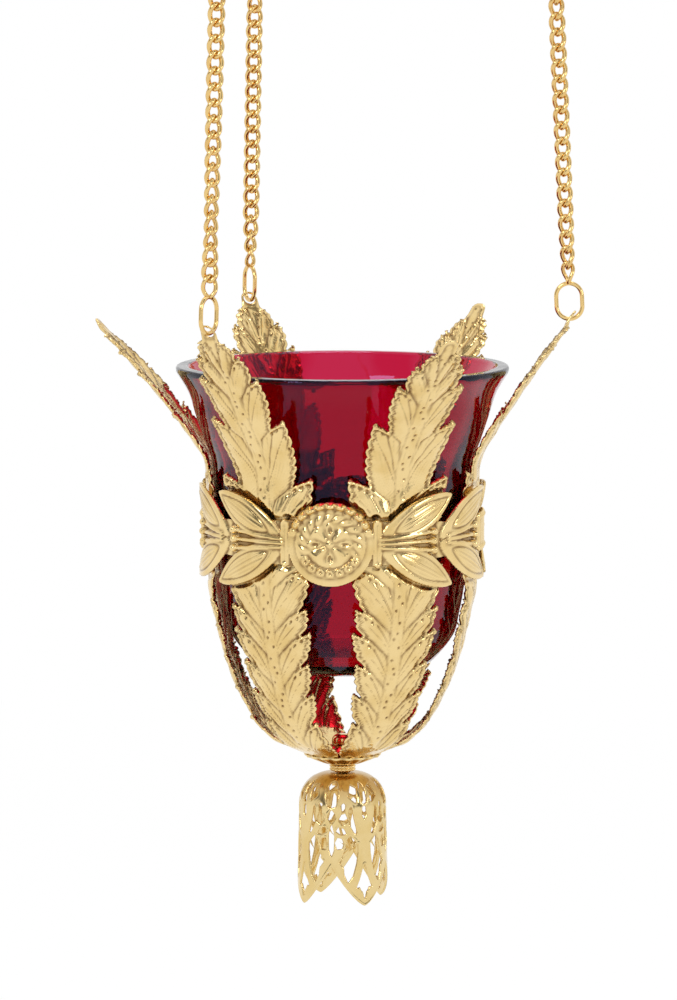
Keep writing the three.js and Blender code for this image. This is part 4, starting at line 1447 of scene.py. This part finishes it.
@dataclass
class GlassCup:
    """The ruby cup: outer radii as steps from the seat radius, at heights above its foot."""

    finish: Material
    foot: float = 17.0
    body: Points = ((10.85, 1.2), (7.15, 4.8), (4.55, 8.7), (3.55, 12.9), (1.75, 23.4), (0.75, 43.1))
    flare: Points = ((1.75, 4.9), (3.65, 10.5), (5.55, 16.4))  # steps out, at heights above the seat
    flare_end: float = 8.35
    height: float = 73.6
    wall: float = 3.0
    floor: float = 3.6
    level: float = 8.0  # radius of the level middle of its floor
    corner: float = 0.8  # height above the floor at which the inner wall ends
    bend: Points = ((0.25, 0.25), (1.2, 0))  # steps in from there, at heights above the floor
    # Slow waves of the pressed wall: how many go round, their share of the radius, and their lag
    waves: Triples = ((5, 0.0012, 0.05), (11, 0.0009, -0.03))
    segments: int = 144

    def build(self) -> None:
        """Turns the cup: up the outer wall, round the rim, down the inner wall and over the floor."""
        outline = [(self.foot, 0.0)]
        outline += [(SEAT_RADIUS - inward, height) for inward, height in self.body]
        outline += [(SEAT_RADIUS, SEAT_HEIGHT)]
        outline += [(SEAT_RADIUS + outward, SEAT_HEIGHT + height) for outward, height in self.flare]
        outline += [(SEAT_RADIUS + self.flare_end, self.height - self.wall / 2)]
        outer = Line(outline).even(90)
        tangent = unit(np.gradient(outer, axis=0))
        inner = outer + self.wall * np.column_stack([-tangent[:, 1], tangent[:, 0]])
        inner = inner[(inner[:, 1] > self.floor + self.corner) & (outer[:, 1] > self.floor)]
        middle = (outer[-1] + inner[-1]) / 2
        arm = outer[-1] - middle
        turn = np.linspace(0, math.pi, 9)[1:-1, None]
        rim = middle + arm * np.cos(turn) + np.array([-arm[1], arm[0]]) * np.sin(turn)
        rim[:, 1] = np.minimum(rim[:, 1], self.height)
        bend = [(inner[0, 0] - inward, self.floor + height) for inward, height in self.bend]
        below = [(0, 0), (self.level, 0)]
        within = [(self.level, self.floor), (0, self.floor)]
        profile = np.vstack([below, outer, rim, inner[::-1], bend, within])
        profile[:, 1] += height_of("glass_cup")[0]

        def swell(azimuth: Array, index: Array) -> Array:
            """The factor on the radius: 1 plus the waves."""
            waves = (share * np.sin(count * azimuth + lag * index) for count, share, lag in self.waves)
            return sum(waves, start=1.0)

        body = turned(profile, self.segments, swell)
        solid_piece("ruby_cup", body, self.finish, "cup", ["glass_cup"])


@dataclass
class CentreStack:
    """The fluted rosette inside, the collar, the bolt and its nut on the lamp's axis."""

    leaf_finish: Material
    wire_finish: Material
    dish: Dish
    rosette_radius: float = 5.2
    rosette_height: float = 2.8
    rosette_rim: Points = ((0.3, 0.0), (0.0, 0.5), (0.3, 1.0))  # steps in, at heights above its edge
    rosette_back: tuple[float, float] = (0.72, 0.85)  # on its slope: shares of its radius and height
    flutes: int = 10
    flute_depth: float = 0.2  # as a share of the radius
    collar_radius: float = 3.2
    collar_height: float = 1.4
    collar_waist: float = 0.25  # how far the collar draws in between its two rows
    beads: int = 20
    bead_depth: float = 0.1  # as a share of the radius
    bolt_radius: float = 1.4
    bolt_bevel: float = 0.4
    thread_start: float = 0.3  # above the bolt's foot
    thread_end: float = 6.5
    thread_turns: int = 7
    thread_depth: float = 0.22
    head_radius: float = 2.6
    head_height: float = 2.4
    head_wall: float = 0.3  # the share of its height at which its dome begins

    def rosette(self) -> None:
        """A small flower on the leaves' feet, fluted deeper towards its rim."""
        low = height_of("inner_rosette")[0]
        edge = low + float(self.dish.rise_at(self.rosette_radius)) + GAP
        top = low + self.rosette_height
        rim = [(self.rosette_radius - inward, edge + height) for inward, height in self.rosette_rim]
        out, up = self.rosette_back
        back = (self.rosette_radius * out, low + self.rosette_height * up)
        over = Line([*rim, back, (self.head_radius, top), (BORE, top)]).even(26)
        profile = np.vstack([[(BORE, low), (self.dish.flat, low)], over])
        share = np.clip((profile[:, 0] - BORE) / (self.rosette_radius - BORE), 0, 1)
        body = turned(profile, 120, lobed(self.flutes, self.flute_depth, share, 1.5), closed=True)
        solid_piece("fluted_rosette", body, self.leaf_finish, "basket", ["inner_rosette"])

    def collar(self) -> None:
        """Two rows of beads round the neck of the bell."""
        low = height_of("neck_collar")[0]
        turn = np.linspace(0, math.tau, 41)
        radius = self.collar_radius - self.collar_waist * (0.5 + 0.5 * np.cos(turn * 2)) ** 2
        outer = np.column_stack([radius, low + self.collar_height * turn / math.tau])
        profile = np.vstack([[(BORE, low)], outer, [(BORE, low + self.collar_height)]])
        row = np.concatenate([[0], 1 - np.cos(2 * turn), [0]]) / 2
        body = turned(profile, 216, lobed(self.beads, self.bead_depth, row), closed=True)
        solid_piece("beaded_collar", body, self.leaf_finish, "basket", ["neck_collar"])

    def bolt(self) -> None:
        """The bolt, with a threaded end below and a domed head above."""
        low, high = height_of("centre_bolt")
        seat = high - self.head_height
        share = np.linspace(0, 1, 8 * self.thread_turns + 1)
        groove = self.thread_depth * np.abs(np.sin(math.pi * self.thread_turns * share))
        height = low + self.thread_start + (self.thread_end - self.thread_start) * share
        flank = np.column_stack([self.bolt_radius - groove, height])
        turn = np.linspace(0, math.pi / 2, 12)
        dome_height = self.head_height * faded(self.head_wall, np.sin(turn))
        head = np.column_stack([self.head_radius * np.cos(turn) ** 0.7, seat + dome_height])
        head[-1, 0] = 0
        start = [(0, low), (self.bolt_radius - self.bolt_bevel, low)]
        above = (self.bolt_radius, low + self.thread_end + 0.2)
        neck = [above, (self.bolt_radius, seat), (self.head_radius, seat)]
        body = turned(np.vstack([start, flank, neck, head]), 48)
        solid_piece("domed_bolt", body, self.wire_finish, "basket", ["centre_bolt"])

    def nut(self) -> None:
        """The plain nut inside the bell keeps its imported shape."""
        node = frame["nodes"]["bell_nut"]
        node.data.materials.clear()
        node.data.materials.append(self.wire_finish)

    def build(self) -> None:
        """Makes the pieces on the axis."""
        self.rosette()
        self.collar()
        self.bolt()
        self.nut()


@dataclass
class Bell:
    """The pierced bell: a turned shell of pointed petals with tracery windows."""

    finish: Material
    height: float = 31.6
    radius: float = 10.7
    mouth: float = 11.1
    shoulder: float = 8.2
    roundness: float = 2.2
    neck: float = 3.2
    wall: float = 0.8
    petals: int = 4
    first_petal: float = math.radians(30)
    petal_length: float = 9.7
    petal_curve: float = 1.4  # power of the petals' lower edge: 1 is straight
    tip_trim: float = 0.02  # how far the tips are rounded off
    dome_painted_shade: float = 0.6  # of the painted shade that darkens the bell's closed dome towards its top
    border: Ridge = Ridge(0.06, 0.2, 0.3)  # raised round each window
    widened: float = 0.14  # how far a window is opened past its outline
    # Windows of a petal's tracery: corners as distance from the petal's middle line and height.
    # Those in the middle and beside it are mirrored at that line, and the last ones at the line
    # between two petals, from which their distance is measured.
    middle: tuple[Points, ...] = (
        (
            (0, 10.1), (-0.5, 8.6), (-1.1, 6.6), (-1.9, 4.7),
            (-1.2, 4.9), (-0.75, 3.9), (-0.35, 3.6), (0, 2.1),
        ),
        ((0, 21.6), (-0.45, 22.4), (-0.35, 24.2), (0, 24.4)),
        ((0, 25.2), (-0.6, 25.6), (-0.75, 28.6), (-0.3, 30.6), (0, 30.8)),
    )
    beside: tuple[Points, ...] = (
        (
            (4.2, 6.1), (3.2, 7.6), (2.35, 10.6), (1.95, 13.5),
            (1.9, 15.3), (6.2, 10.9), (5.1, 9.5), (5.0, 7.9),
        ),
        ((2.5, 15.9), (3.7, 17.1), (4.4, 16.2), (5.0, 13.6), (5.6, 12.1), (4.4, 13.2), (3.1, 14.8)),
        ((5.5, 15.6), (5.9, 16.5), (6.8, 16.7), (7.4, 15.6), (6.9, 14.2), (5.9, 14.3)),
        ((4.9, 17.9), (5.4, 18.9), (6.6, 19.3), (7.1, 18.5), (6.0, 17.8)),
        (
            (5.1, 24.9), (5.4, 25.2), (5.75, 24.9), (5.6, 22.9),
            (6.5, 21.2), (5.6, 20.1), (4.3, 21.0), (5.2, 22.9),
        ),
        ((2.1, 17.9), (2.6, 18.2), (3.8, 20.4), (3.9, 23.6), (3.5, 24.4), (3.0, 21.4)),
        ((2.3, 25.6), (4.0, 27.0), (3.2, 30.0), (1.9, 29.2)),
    )
    between: tuple[Points, ...] = (
        ((0, 12.6), (-0.45, 13.8), (-0.55, 17.6), (0, 19.8)),
        ((0, 20.4), (-0.85, 21.7), (-0.7, 22.6), (0, 23.4)),
        ((0, 24.3), (-0.9, 24.6), (-1.4, 26.2), (-1.45, 29.4), (-0.9, 30.9), (0, 31.3)),
    )

    def __post_init__(self) -> None:
        """Works out the outer line of the bell, from its tips up over the shoulder to the bore."""
        depth = self.shoulder * (1 - np.cos(np.linspace(0, math.pi / 2, 40)))
        rise = 1 - depth / self.shoulder
        radius = self.neck + (self.radius - self.neck) * np.sqrt(np.maximum(1 - rise**self.roundness, 0))
        shoulder = np.column_stack([radius, self.height - depth])[::-1]
        wall = np.linspace((self.mouth, 0), (self.radius, self.height - self.shoulder), 20)
        self.line = np.vstack([wall[:-1], shoulder, [(BORE, self.height)]])
        self.at = way_along(self.line)

    def plan(self, x: Array, y: Array) -> Field:
        """The bell laid flat.

        The petals' lower edge climbs from each tip by a power of the share of the way to the next
        petal. The distance from it is the height above it over the root of 1 + its slope squared.

        Args:
            x, y: azimuths times the bell's radius, and ways up its outer line.

        Returns:
            The margin and the relief.
        """
        sector = math.tau / self.petals
        fold = np.abs(nearest(x / self.radius - self.first_petal, sector))
        across = np.interp(y, self.at, self.line[:, 0]) * sector / 2
        share = fold / (sector / 2)
        low = self.tip_trim + self.petal_length * share**self.petal_curve
        steep = self.petal_curve * self.petal_length / across * share ** (self.petal_curve - 1)
        margin = (y - low) / np.sqrt(1 + steep**2)
        margin = np.minimum(margin, self.at[-1] - 0.2 - y)
        off = fold * self.radius
        off_next = off - self.radius * sector / 2
        groups = ((self.middle, -off, True), (self.beside, off, False), (self.between, off_next, True))
        for windows, side, mirrored in groups:
            for window in windows:
                corners = self._whole(window) if mirrored else np.array(window)
                margin = np.minimum(margin, -polygon_margin(side, y, corners) - self.widened)
        return margin, self.border.at(margin) * (y < self.at[-1] - 3)

    def _whole(self, window: Points) -> Array:
        """A window's outline with its mirror image across its own middle line."""
        half = np.array(window)
        return np.vstack([half, half[-2:0:-1] * [-1, 1]])

    def place(self, x: Array, y: Array) -> Surface:
        """Bends the flat bell round, with its outer face on the outer line.

        Args:
            x, y: places on the flat bell.

        Returns:
            The middle surface.
        """
        turn = x / self.radius
        r, z = (np.interp(y, self.at, self.line[:, k]) for k in (0, 1))
        dr, dz = (np.interp(y, self.at, np.gradient(self.line[:, k], self.at)) for k in (0, 1))
        steep = np.hypot(dr, dz)
        normals = polar(dz / steep, turn, -dr / steep)
        return polar(r, turn, z) - normals * self.wall / 2, normals

    def build(self) -> None:
        """Casts the bell."""
        sheet = PressedSheet(
            self.plan,
            self.place,
            (0, math.tau * self.radius),
            (-0.3, float(self.at[-1]) - 0.1),
            step=0.19,
            thickness=self.wall - 0.2,
            rounding=0.2,
            wraps=True,
            groove_depth=1.0,
        )
        body = sheet.body()
        # Painted shade: the closed dome is darkened towards its top through the groove mask, in the bell's
        # tarnish colour
        closed = smooth(self.height - 8.0, self.height - 3.0, body.points[:, 2])
        body.groove = np.maximum(body.groove, self.dome_painted_shade * closed)
        solid_piece("pierced_bell", body, self.finish, "basket", ["bell"])


def stadium(half_width: float, half_length: float, count: int) -> Surface:
    """An oval line of two half circles and two straights in the XZ plane.

    Args:
        half_width, half_length: half the oval's size along X and Z.
        count: how many points it has, at even steps.

    Returns:
        The points and the unit vectors that point out of the oval.
    """
    straight = half_length - half_width
    halves = ((straight, 0.0, math.pi), (-straight, math.pi, math.tau))
    line = np.vstack([arc((0, lift), half_width, start, end, 361) for lift, start, end in halves])
    out = np.vstack([arc((0, 0), 1.0, start, end, 361) for _, start, end in halves])
    line, out = (np.vstack([values, values[:1]]) for values in (line, out))
    at = way_along(line)
    want = np.linspace(0, at[-1], count, endpoint=False)
    middle, outward = (
        np.column_stack([np.interp(want, at, values[:, 0]), 0 * want, np.interp(want, at, values[:, 1])])
        for values in (line, out)
    )
    return middle, unit(outward)


@dataclass
class Suspension:
    """One chain with a jump ring at each end, on the line between its joints."""

    side: str
    finish: Material
    facing: tuple[float, float]  # how far its links are turned, low down and high up
    ring_wire: float = 1.05
    ring_half_width: float = 3.1
    ring_half_length: float = 4.3
    link_wire: float = 1.2
    link_half_width: float = 1.52
    link_half_length: float = 2.48
    link_twist: float = math.radians(45)  # from a link's middle to its end
    end_wire: float = 1.05  # of the links that hang in the rings
    links: int = 20
    free_from: float = 4  # the link from either end that first takes the full turn

    def __post_init__(self) -> None:
        """Reads the chain's line from its joints: the top ring's hole, and both ends of the chain."""
        self.top = pivot(sway_joint("sway_side", self.side))
        self.chain_top = pivot(sway_joint("sway_fore", self.side))
        self.chain_low = pivot("ring_tilt_" + self.side)
        run = self.chain_top - self.chain_low
        self.reach = float(np.linalg.norm(run))
        self.up = run / self.reach
        azimuth = math.atan2(self.top[1], self.top[0])
        side_way = np.array([-math.sin(azimuth), math.cos(azimuth), 0.0])
        self.axes = np.array([np.cross(side_way, self.up), side_way, self.up])  # out, sideways and up

    def _wire(
        self, line: Sequence[Array], turned_by: float, start: Array, rise: float, wire: float, sides: int
    ) -> Body:
        """A closed wire that follows a line given in the chain's own axes.

        Args:
            line: the line's points, and at each the two unit vectors of the section's plane.
            turned_by: how far the line is turned about the chain's length.
            start, rise: where it goes: a place, and how far up the chain from there.
            wire: the wire's diameter.
            sides: points of its section.

        Returns:
            The wire.
        """
        middle, across, up = (about_z(vectors, turned_by) @ self.axes for vectors in line)
        return swept_loop(middle + start + rise * self.up, across, up, wire / 2, sides)

    def ring(self, node: str, start: Array, turned_by: float) -> None:
        """A jump ring.

        Args:
            node: the node that it stands for.
            start: the middle of its lowest wire.
            turned_by: how far it is turned about the chain's length.
        """
        count = 64
        line = (
            *stadium(self.ring_half_width, self.ring_half_length, count),
            np.tile([0.0, 1.0, 0.0], (count, 1)),
        )
        loop = self._wire(line, turned_by, start, self.ring_half_length, self.ring_wire, 16)
        solid_piece("jump_" + node, loop, self.finish, node, [node])

    def _link_line(self, count: int) -> list[Array]:
        """A link's line: an oval that is twisted about its length.

        Args:
            count: how many points it has.

        Returns:
            The points, and the unit vectors out of the oval and across it.
        """
        turn = np.arange(count) * (math.tau / count)
        across, along, level = np.cos(turn), np.sin(turn), np.zeros(count)
        middle = np.column_stack([self.link_half_width * across, level, self.link_half_length * along])
        outward = unit(np.column_stack([self.link_half_length * across, level, self.link_half_width * along]))
        flat = np.tile([0.0, 1.0, 0.0], (count, 1))
        twist = self.link_twist * (along + 1) + math.pi / 2
        return [about_z(vectors, twist) for vectors in (middle, outward, flat)]

    def chain(self) -> None:
        """Curb links, each twisted, and turned about the chain's length as they hang."""
        line = self._link_line(32)
        pitch = (self.reach - 2 * self.link_half_length) / (self.links - 1)
        bodies = []
        for link in range(self.links):
            share = link / (self.links - 1)
            from_end = min(link, self.links - 1 - link)
            facing = self.facing[0] + (self.facing[1] - self.facing[0]) * share
            turned_by = facing * float(smooth(0, self.free_from, from_end))
            wire = self.link_wire if from_end else self.end_wire
            rise = self.link_half_length + link * pitch
            bodies.append(self._wire(line, turned_by, self.chain_low, rise, wire, 12))
        node = "chain_" + self.side
        solid_piece("curb_" + node, merged(bodies), self.finish, node, [node])

    def build(self) -> None:
        """Makes both rings and the chain."""
        length = 2 * self.ring_half_length * self.up
        self.ring("lower_ring_" + self.side, self.chain_low - length, 0)
        self.chain()
        self.ring("top_ring_" + self.side, self.top - length, math.pi / 2)


def cubic(corners: Sequence[Sequence[float]], count: int) -> Array:
    """A cubic Bezier curve: its corners, weighted by the four terms of ((1 - t) + t)^3.

    Args:
        corners: its four corners.
        count: how many points it has.

    Returns:
        The points.
    """
    t = np.linspace(0, 1, count)[:, None]
    pulls = ((1 - t) ** 3, 3 * t * (1 - t) ** 2, 3 * t**2 * (1 - t), t**3)
    return sum(pull * np.array(corner) for pull, corner in zip(pulls, corners))


@dataclass
class Crown:
    """The three-armed crown: a turned hub with a drop, flat arms, a screw eye and the ring."""

    finish: Material
    eyelet: float = 50.6  # radius of the arms' holes
    arm_thickness: float = 1.4
    hole: float = 1.6
    eye_rim: float = 1.4
    arm_rise: float = 11.0
    root_height: float = 6.4
    # The pull of the arm's curves: shares of the eyelet's radius, and heights above the root's
    # foot or its top
    under_pull: Points = ((0.38, 1.2), (0.7, 1.0))
    over_pull: Points = ((0.8, -2.4), (0.42, 1.0))
    engraved: Ridge = Ridge(0.14, 0.16, 0.8)  # line inside the arm's edge
    field_rise: float = 0.12  # of each face within that line
    hub_radius: float = 6.5
    tenon: float = 3.0
    lip: float = 0.9
    groove_rim: float = 0.6  # height of the plain rims above and below the hub's groove
    groove_depth: float = 0.3
    finial: float = 7.0
    drop: Points = ((0, 0), (1.4, 0.8), (1.9, 2), (1.2, 3.2), (2.4, 4), (5.5, 5.4))
    eye_wire: float = 1.6
    eye_radius: float = 3.5
    shank: float = 1.5
    collar: Points = ((1.0, 0.15), (1.0, 0.8), (0.0, 1.1))  # steps out from the shank, at heights
    ring_wire: float = 2.0
    ring_radius: float = 9.0

    def __post_init__(self) -> None:
        """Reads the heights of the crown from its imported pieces."""
        self.low, self.hub_top = height_of("crown_hub")
        self.root_bottom = self.low + self.finial
        self.root_top = self.root_bottom + self.root_height
        self.hole_height = self.root_top - self.arm_rise

    def _arm_outline(self) -> Array:
        """An arm's outline in its own plane: two cubic curves between the hub and the round eye."""
        root = self.hub_radius - self.tenon
        bottom, top = self.arm_rise - self.root_height, self.arm_rise
        eye = arc((self.eyelet, 0), self.hole + self.eye_rim, 1.2 * math.pi, 2.75 * math.pi, 40)
        under_pull = [(self.eyelet * share, bottom + rise) for share, rise in self.under_pull]
        over_pull = [(self.eyelet * share, top + rise) for share, rise in self.over_pull]
        under = cubic([(self.hub_radius + GAP, bottom), *under_pull, eye[0]], 24)
        over = cubic([eye[-1], *over_pull, (self.hub_radius + GAP, top)], 24)
        return np.vstack([[(root, bottom)], under, eye[1:-1], over, [(root, top)]])

    def arm(self, side: str) -> None:
        """A flat arm with a line engraved inside its edge.

        Args:
            side: which chain it carries.
        """
        x_hole, y_hole, _ = pivot(sway_joint("sway_side", side))
        azimuth = math.atan2(y_hole, x_hole)
        outline = self._arm_outline()

        def plan(x: Array, y: Array) -> Field:
            """The arm inside its outline and outside its hole."""
            margin = polygon_margin(x, y, outline)
            margin = np.minimum(margin, np.hypot(x - self.eyelet, y) - self.hole)
            return margin, self.field_rise * smooth(0.9, 1.6, margin) - self.engraved.at(margin)

        def place(x: Array, y: Array) -> Surface:
            """Stands the arm upright in the plane of its azimuth."""
            points = np.stack([x, 0 * x, self.hole_height + y], axis=-1)
            normals = np.broadcast_to([0.0, 1.0, 0.0], points.shape)
            return about_z(points, azimuth), about_z(normals, azimuth)

        thickness = self.arm_thickness - 2 * self.field_rise
        x_range = (self.hub_radius - self.tenon - 0.4, self.eyelet + 3.6)
        y_range = (-3.6, self.arm_rise + 0.8)
        sheet = PressedSheet(plan, place, x_range, y_range, 0.26, thickness, 0.35, cast=True)
        node = "crown_arm_" + side
        solid_piece("bracket_" + node, sheet.body(), self.finish, "crown", [node])

    def hub(self) -> None:
        """The turned boss: a drop below, an upright grooved wall, and a cap that rounds in to the eye."""
        drop = Line([(r, self.low + h) for r, h in self.drop]).even(40)
        drop[0, 0] = 0
        low, high = self.root_bottom - self.lip, self.root_top + self.lip
        radius, inner = self.hub_radius, self.hub_radius - self.groove_depth
        rim, groove = self.groove_rim, self.groove_rim + self.groove_depth
        wall = [(radius, low), (radius, low + rim), (inner, low + groove)]
        wall += [(inner, high - groove), (radius, high - rim)]
        turn = np.linspace(0, math.pi / 2, 12)
        opening = self.shank + self.collar[0][0] + GAP
        cap_radius = radius - (radius - opening) * (1 - np.cos(turn))
        cap = np.column_stack([cap_radius, high + (self.hub_top - high) * np.sin(turn)])
        profile = np.vstack([drop, wall, cap, [(0, self.hub_top)]])
        solid_piece("turned_hub", turned(profile, 96), self.finish, "crown", ["crown_hub"])

    def _torus(self, radius: float, wire: float, height: float, across: Array) -> Body:
        """A round ring that stands upright.

        Args:
            radius, wire: the radius of its middle line, and the wire's diameter.
            height: its middle's height.
            across: the level unit vector in its plane.

        Returns:
            The ring.
        """
        count, up = 96, np.array([0, 0, 1.0])
        turn = np.arange(count)[:, None] * (math.tau / count)
        out = np.cos(turn) * across + np.sin(turn) * up
        flat = np.tile(np.cross(across, up), (count, 1))
        return swept_loop(out * radius + height * up, out, flat, wire / 2, 20)

    def eye(self) -> None:
        """The screw eye: a ring on a collared shank."""
        middle = height_of("crown_eye")[1] - self.eye_wire / 2 - self.eye_radius
        ring = self._torus(self.eye_radius, self.eye_wire, middle, np.array([1.0, 0, 0]))
        foot, end = self.hub_top + 0.05, middle - self.eye_radius
        collar = [(self.shank + outward, foot + height) for outward, height in self.collar]
        profile = [(0, foot), *collar, (self.shank * 0.8, end), (0, end + 0.4)]
        body = merged([ring, turned(np.array(profile), 48)])
        solid_piece("screw_eye", body, self.finish, "crown", ["crown_eye"])

    def ring(self) -> None:
        """The hanging ring, in the plane across the eye's own."""
        middle = sum(height_of("hanging_ring")) / 2
        body = self._torus(self.ring_radius, self.ring_wire, middle, np.array([0, 1.0, 0]))
        solid_piece("round_hanging_ring", body, self.finish, "hanger", ["hanging_ring"])

    def build(self) -> None:
        """Makes the crown and the ring above it."""
        for side in ("right", "rear_left", "front_left"):
            self.arm(side)
        self.hub()
        self.eye()
        self.ring()


@dataclass
class Studio:
    """The camera, the lights, the pale floor and the white surround."""

    distance: float = 1.5
    elevation: float = math.radians(6.6)
    aim: tuple[float, float, float] = (-0.001, 0.0, -0.1742)
    lens: float = 222.75
    floor_drop: float = 0.075  # of the floor below the bell
    floor_radius: float = 6.0
    floor_grey: float = 0.92
    floor_white: Points = ((0.3, 0.86), (0.9, 1.0))  # how much of it is plain white, by distance
    # What metal sees: a grey by the turn from the front to the back, and one by height
    flags: Points = ((0.16, 1.0), (0.23, 0.2), (0.35, 0.2), (0.42, 1.0))
    sky: Points = ((0.0, 0.75), (0.4, 0.55), (0.5, 0.9), (0.8, 1.0))

    def camera(self) -> None:
        """A long lens in front of the lamp and a little above it."""
        data = bpy.data.cameras.new("photo_camera")
        data.sensor_fit = "AUTO"
        data.sensor_width = 36.0
        data.lens = self.lens
        data.clip_start, data.clip_end = 0.05, 60.0
        camera = bpy.data.objects.new("photo_camera", data)
        bpy.context.scene.collection.objects.link(camera)
        back = Vector((0, -math.cos(self.elevation), math.sin(self.elevation)))
        camera.location = Vector(self.aim) + back * self.distance
        camera.rotation_euler = (-back).to_track_quat("-Z", "Y").to_euler()
        bpy.context.scene.camera = camera

    def lamp(self, name: str, place: Sequence[float], size: float, power: float) -> None:
        """A square soft lamp that faces the middle of the object.

        Args:
            name: its name.
            place: where it stands, in metres.
            size, power: its side in metres and its power in watts.
        """
        data = bpy.data.lights.new(name, "AREA")
        data.shape, data.size, data.energy = "SQUARE", size, power
        lamp = bpy.data.objects.new(name, data)
        bpy.context.scene.collection.objects.link(lamp)
        lamp.location = place
        lamp.rotation_euler = (Vector(place) - Vector(self.aim)).to_track_quat("Z", "Y").to_euler()

    def floor(self) -> None:
        """A round pale floor that is white to the eye, and keeps the lamp's soft shadow."""
        bpy.ops.mesh.primitive_circle_add(vertices=128, radius=self.floor_radius, fill_type="NGON")
        floor = bpy.context.object
        floor.name = "pale_floor"
        floor.data.transform(floor.matrix_world)
        floor.matrix_world.identity()
        floor.data.transform(Matrix.Translation((0, 0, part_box("bell")[0].z - self.floor_drop)))
        made, n = new_material("pale_floor")
        n.tree.nodes.remove(n.tree.nodes["Principled BSDF"])
        grey = opaque((self.floor_grey, self.floor_grey, self.floor_grey))
        diffuse = n.add("ShaderNodeBsdfDiffuse", {"Color": grey}).outputs[0]
        white = n.add("ShaderNodeEmission", {"Color": (1, 1, 1, 1), "Strength": 1.0}).outputs[0]
        place = n.add("ShaderNodeTexCoord").outputs["Object"]
        reach = n.add("ShaderNodeVectorMath", {0: place}, operation="LENGTH").outputs["Value"]
        share = n.math("MULTIPLY", self._seen(n), n.ramp(reach, self.floor_white))
        mixed = n.add("ShaderNodeMixShader", {0: share, 1: diffuse, 2: white}).outputs[0]
        n.fill(n.tree.nodes["Material Output"], {0: mixed})
        floor.data.materials.append(made)

    def _seen(self, n: Nodes) -> Socket:
        """1 for the rays that see the surround: from the camera, in metal and through glass."""
        path = n.add("ShaderNodeLightPath").outputs
        seen = n.math("MAXIMUM", path["Is Camera Ray"], path["Is Glossy Ray"])
        return n.math("MAXIMUM", seen, path["Is Transmission Ray"])

    def surround(self) -> None:
        """White to the camera and through glass. Metal sees it with two soft grey flags in front."""
        world = bpy.data.worlds.new("studio")
        world.use_nodes = True
        bpy.context.scene.world = world
        n = Nodes(world.node_tree)
        path = n.add("ShaderNodeLightPath").outputs
        way = n.add("ShaderNodeTexCoord").outputs["Generated"]
        x, y, z = n.add("ShaderNodeSeparateXYZ", {0: way}).outputs
        turn = n.math("ARCTAN2", x, n.math("MULTIPLY", y, -1.0))
        turn = n.math("ABSOLUTE", n.math("DIVIDE", turn, math.pi))
        sky = n.ramp(n.math("MULTIPLY_ADD", z, 0.5, 0.5), self.sky)
        metal = n.mix(1.0, n.ramp(turn, self.flags), sky, "MULTIPLY")
        white = n.math("MAXIMUM", path["Is Camera Ray"], path["Is Transmission Ray"])
        colour = n.mix(white, metal, (1, 1, 1, 1))
        n.fill(n.tree.nodes["Background"], {"Color": colour, "Strength": 1.0})

    def build(self) -> None:
        """Sets the stage."""
        bpy.context.scene.view_settings.view_transform = "Standard"
        self.camera()
        self.floor()
        self.surround()
        self.lamp("key", (-0.9, -1.2, 0.7), 0.45, 6.0)
        self.lamp("fill", (1.3, -0.9, 0.2), 0.5, 3.5)
        self.lamp("top", (0.1, 0.3, 1.1), 0.6, 4.0)


def main() -> None:
    """Builds the lamp's sub-assemblies in order, from the studio to the ring."""
    logging.basicConfig(level=logging.INFO, format="%(name)s %(message)s")
    Studio().build()
    finishes = Finishes()
    dish = Dish(finishes.leaf)
    bands = [
        Band("band_front", FIRST_LEAF - math.pi / 2, finishes.leaf),
        Band("band_rear", FIRST_LEAF + math.pi / 2, finishes.leaf),
    ]
    for index, name in enumerate(LEAF_NAMES):
        azimuth = FIRST_LEAF + index * math.pi / 3
        kind = LeafKind.FREE if index % 2 else LeafKind.CHAIN
        Leaf(name, azimuth, kind, finishes.leaf, dish, bands).build()
    for band in bands:
        band.build()
    GlassCup(finishes.glass).build()
    dish.build()
    CentreStack(finishes.leaf, finishes.wire, dish).build()
    Bell(finishes.bell).build()
    for side, facing in (("right", (20, 35)), ("rear_left", (-70, -70)), ("front_left", (60, -30))):
        Suspension(side, finishes.wire, tuple(math.radians(turn) for turn in facing)).build()
    Crown(finishes.wire).build()


if __name__ == "__main__":
    main()
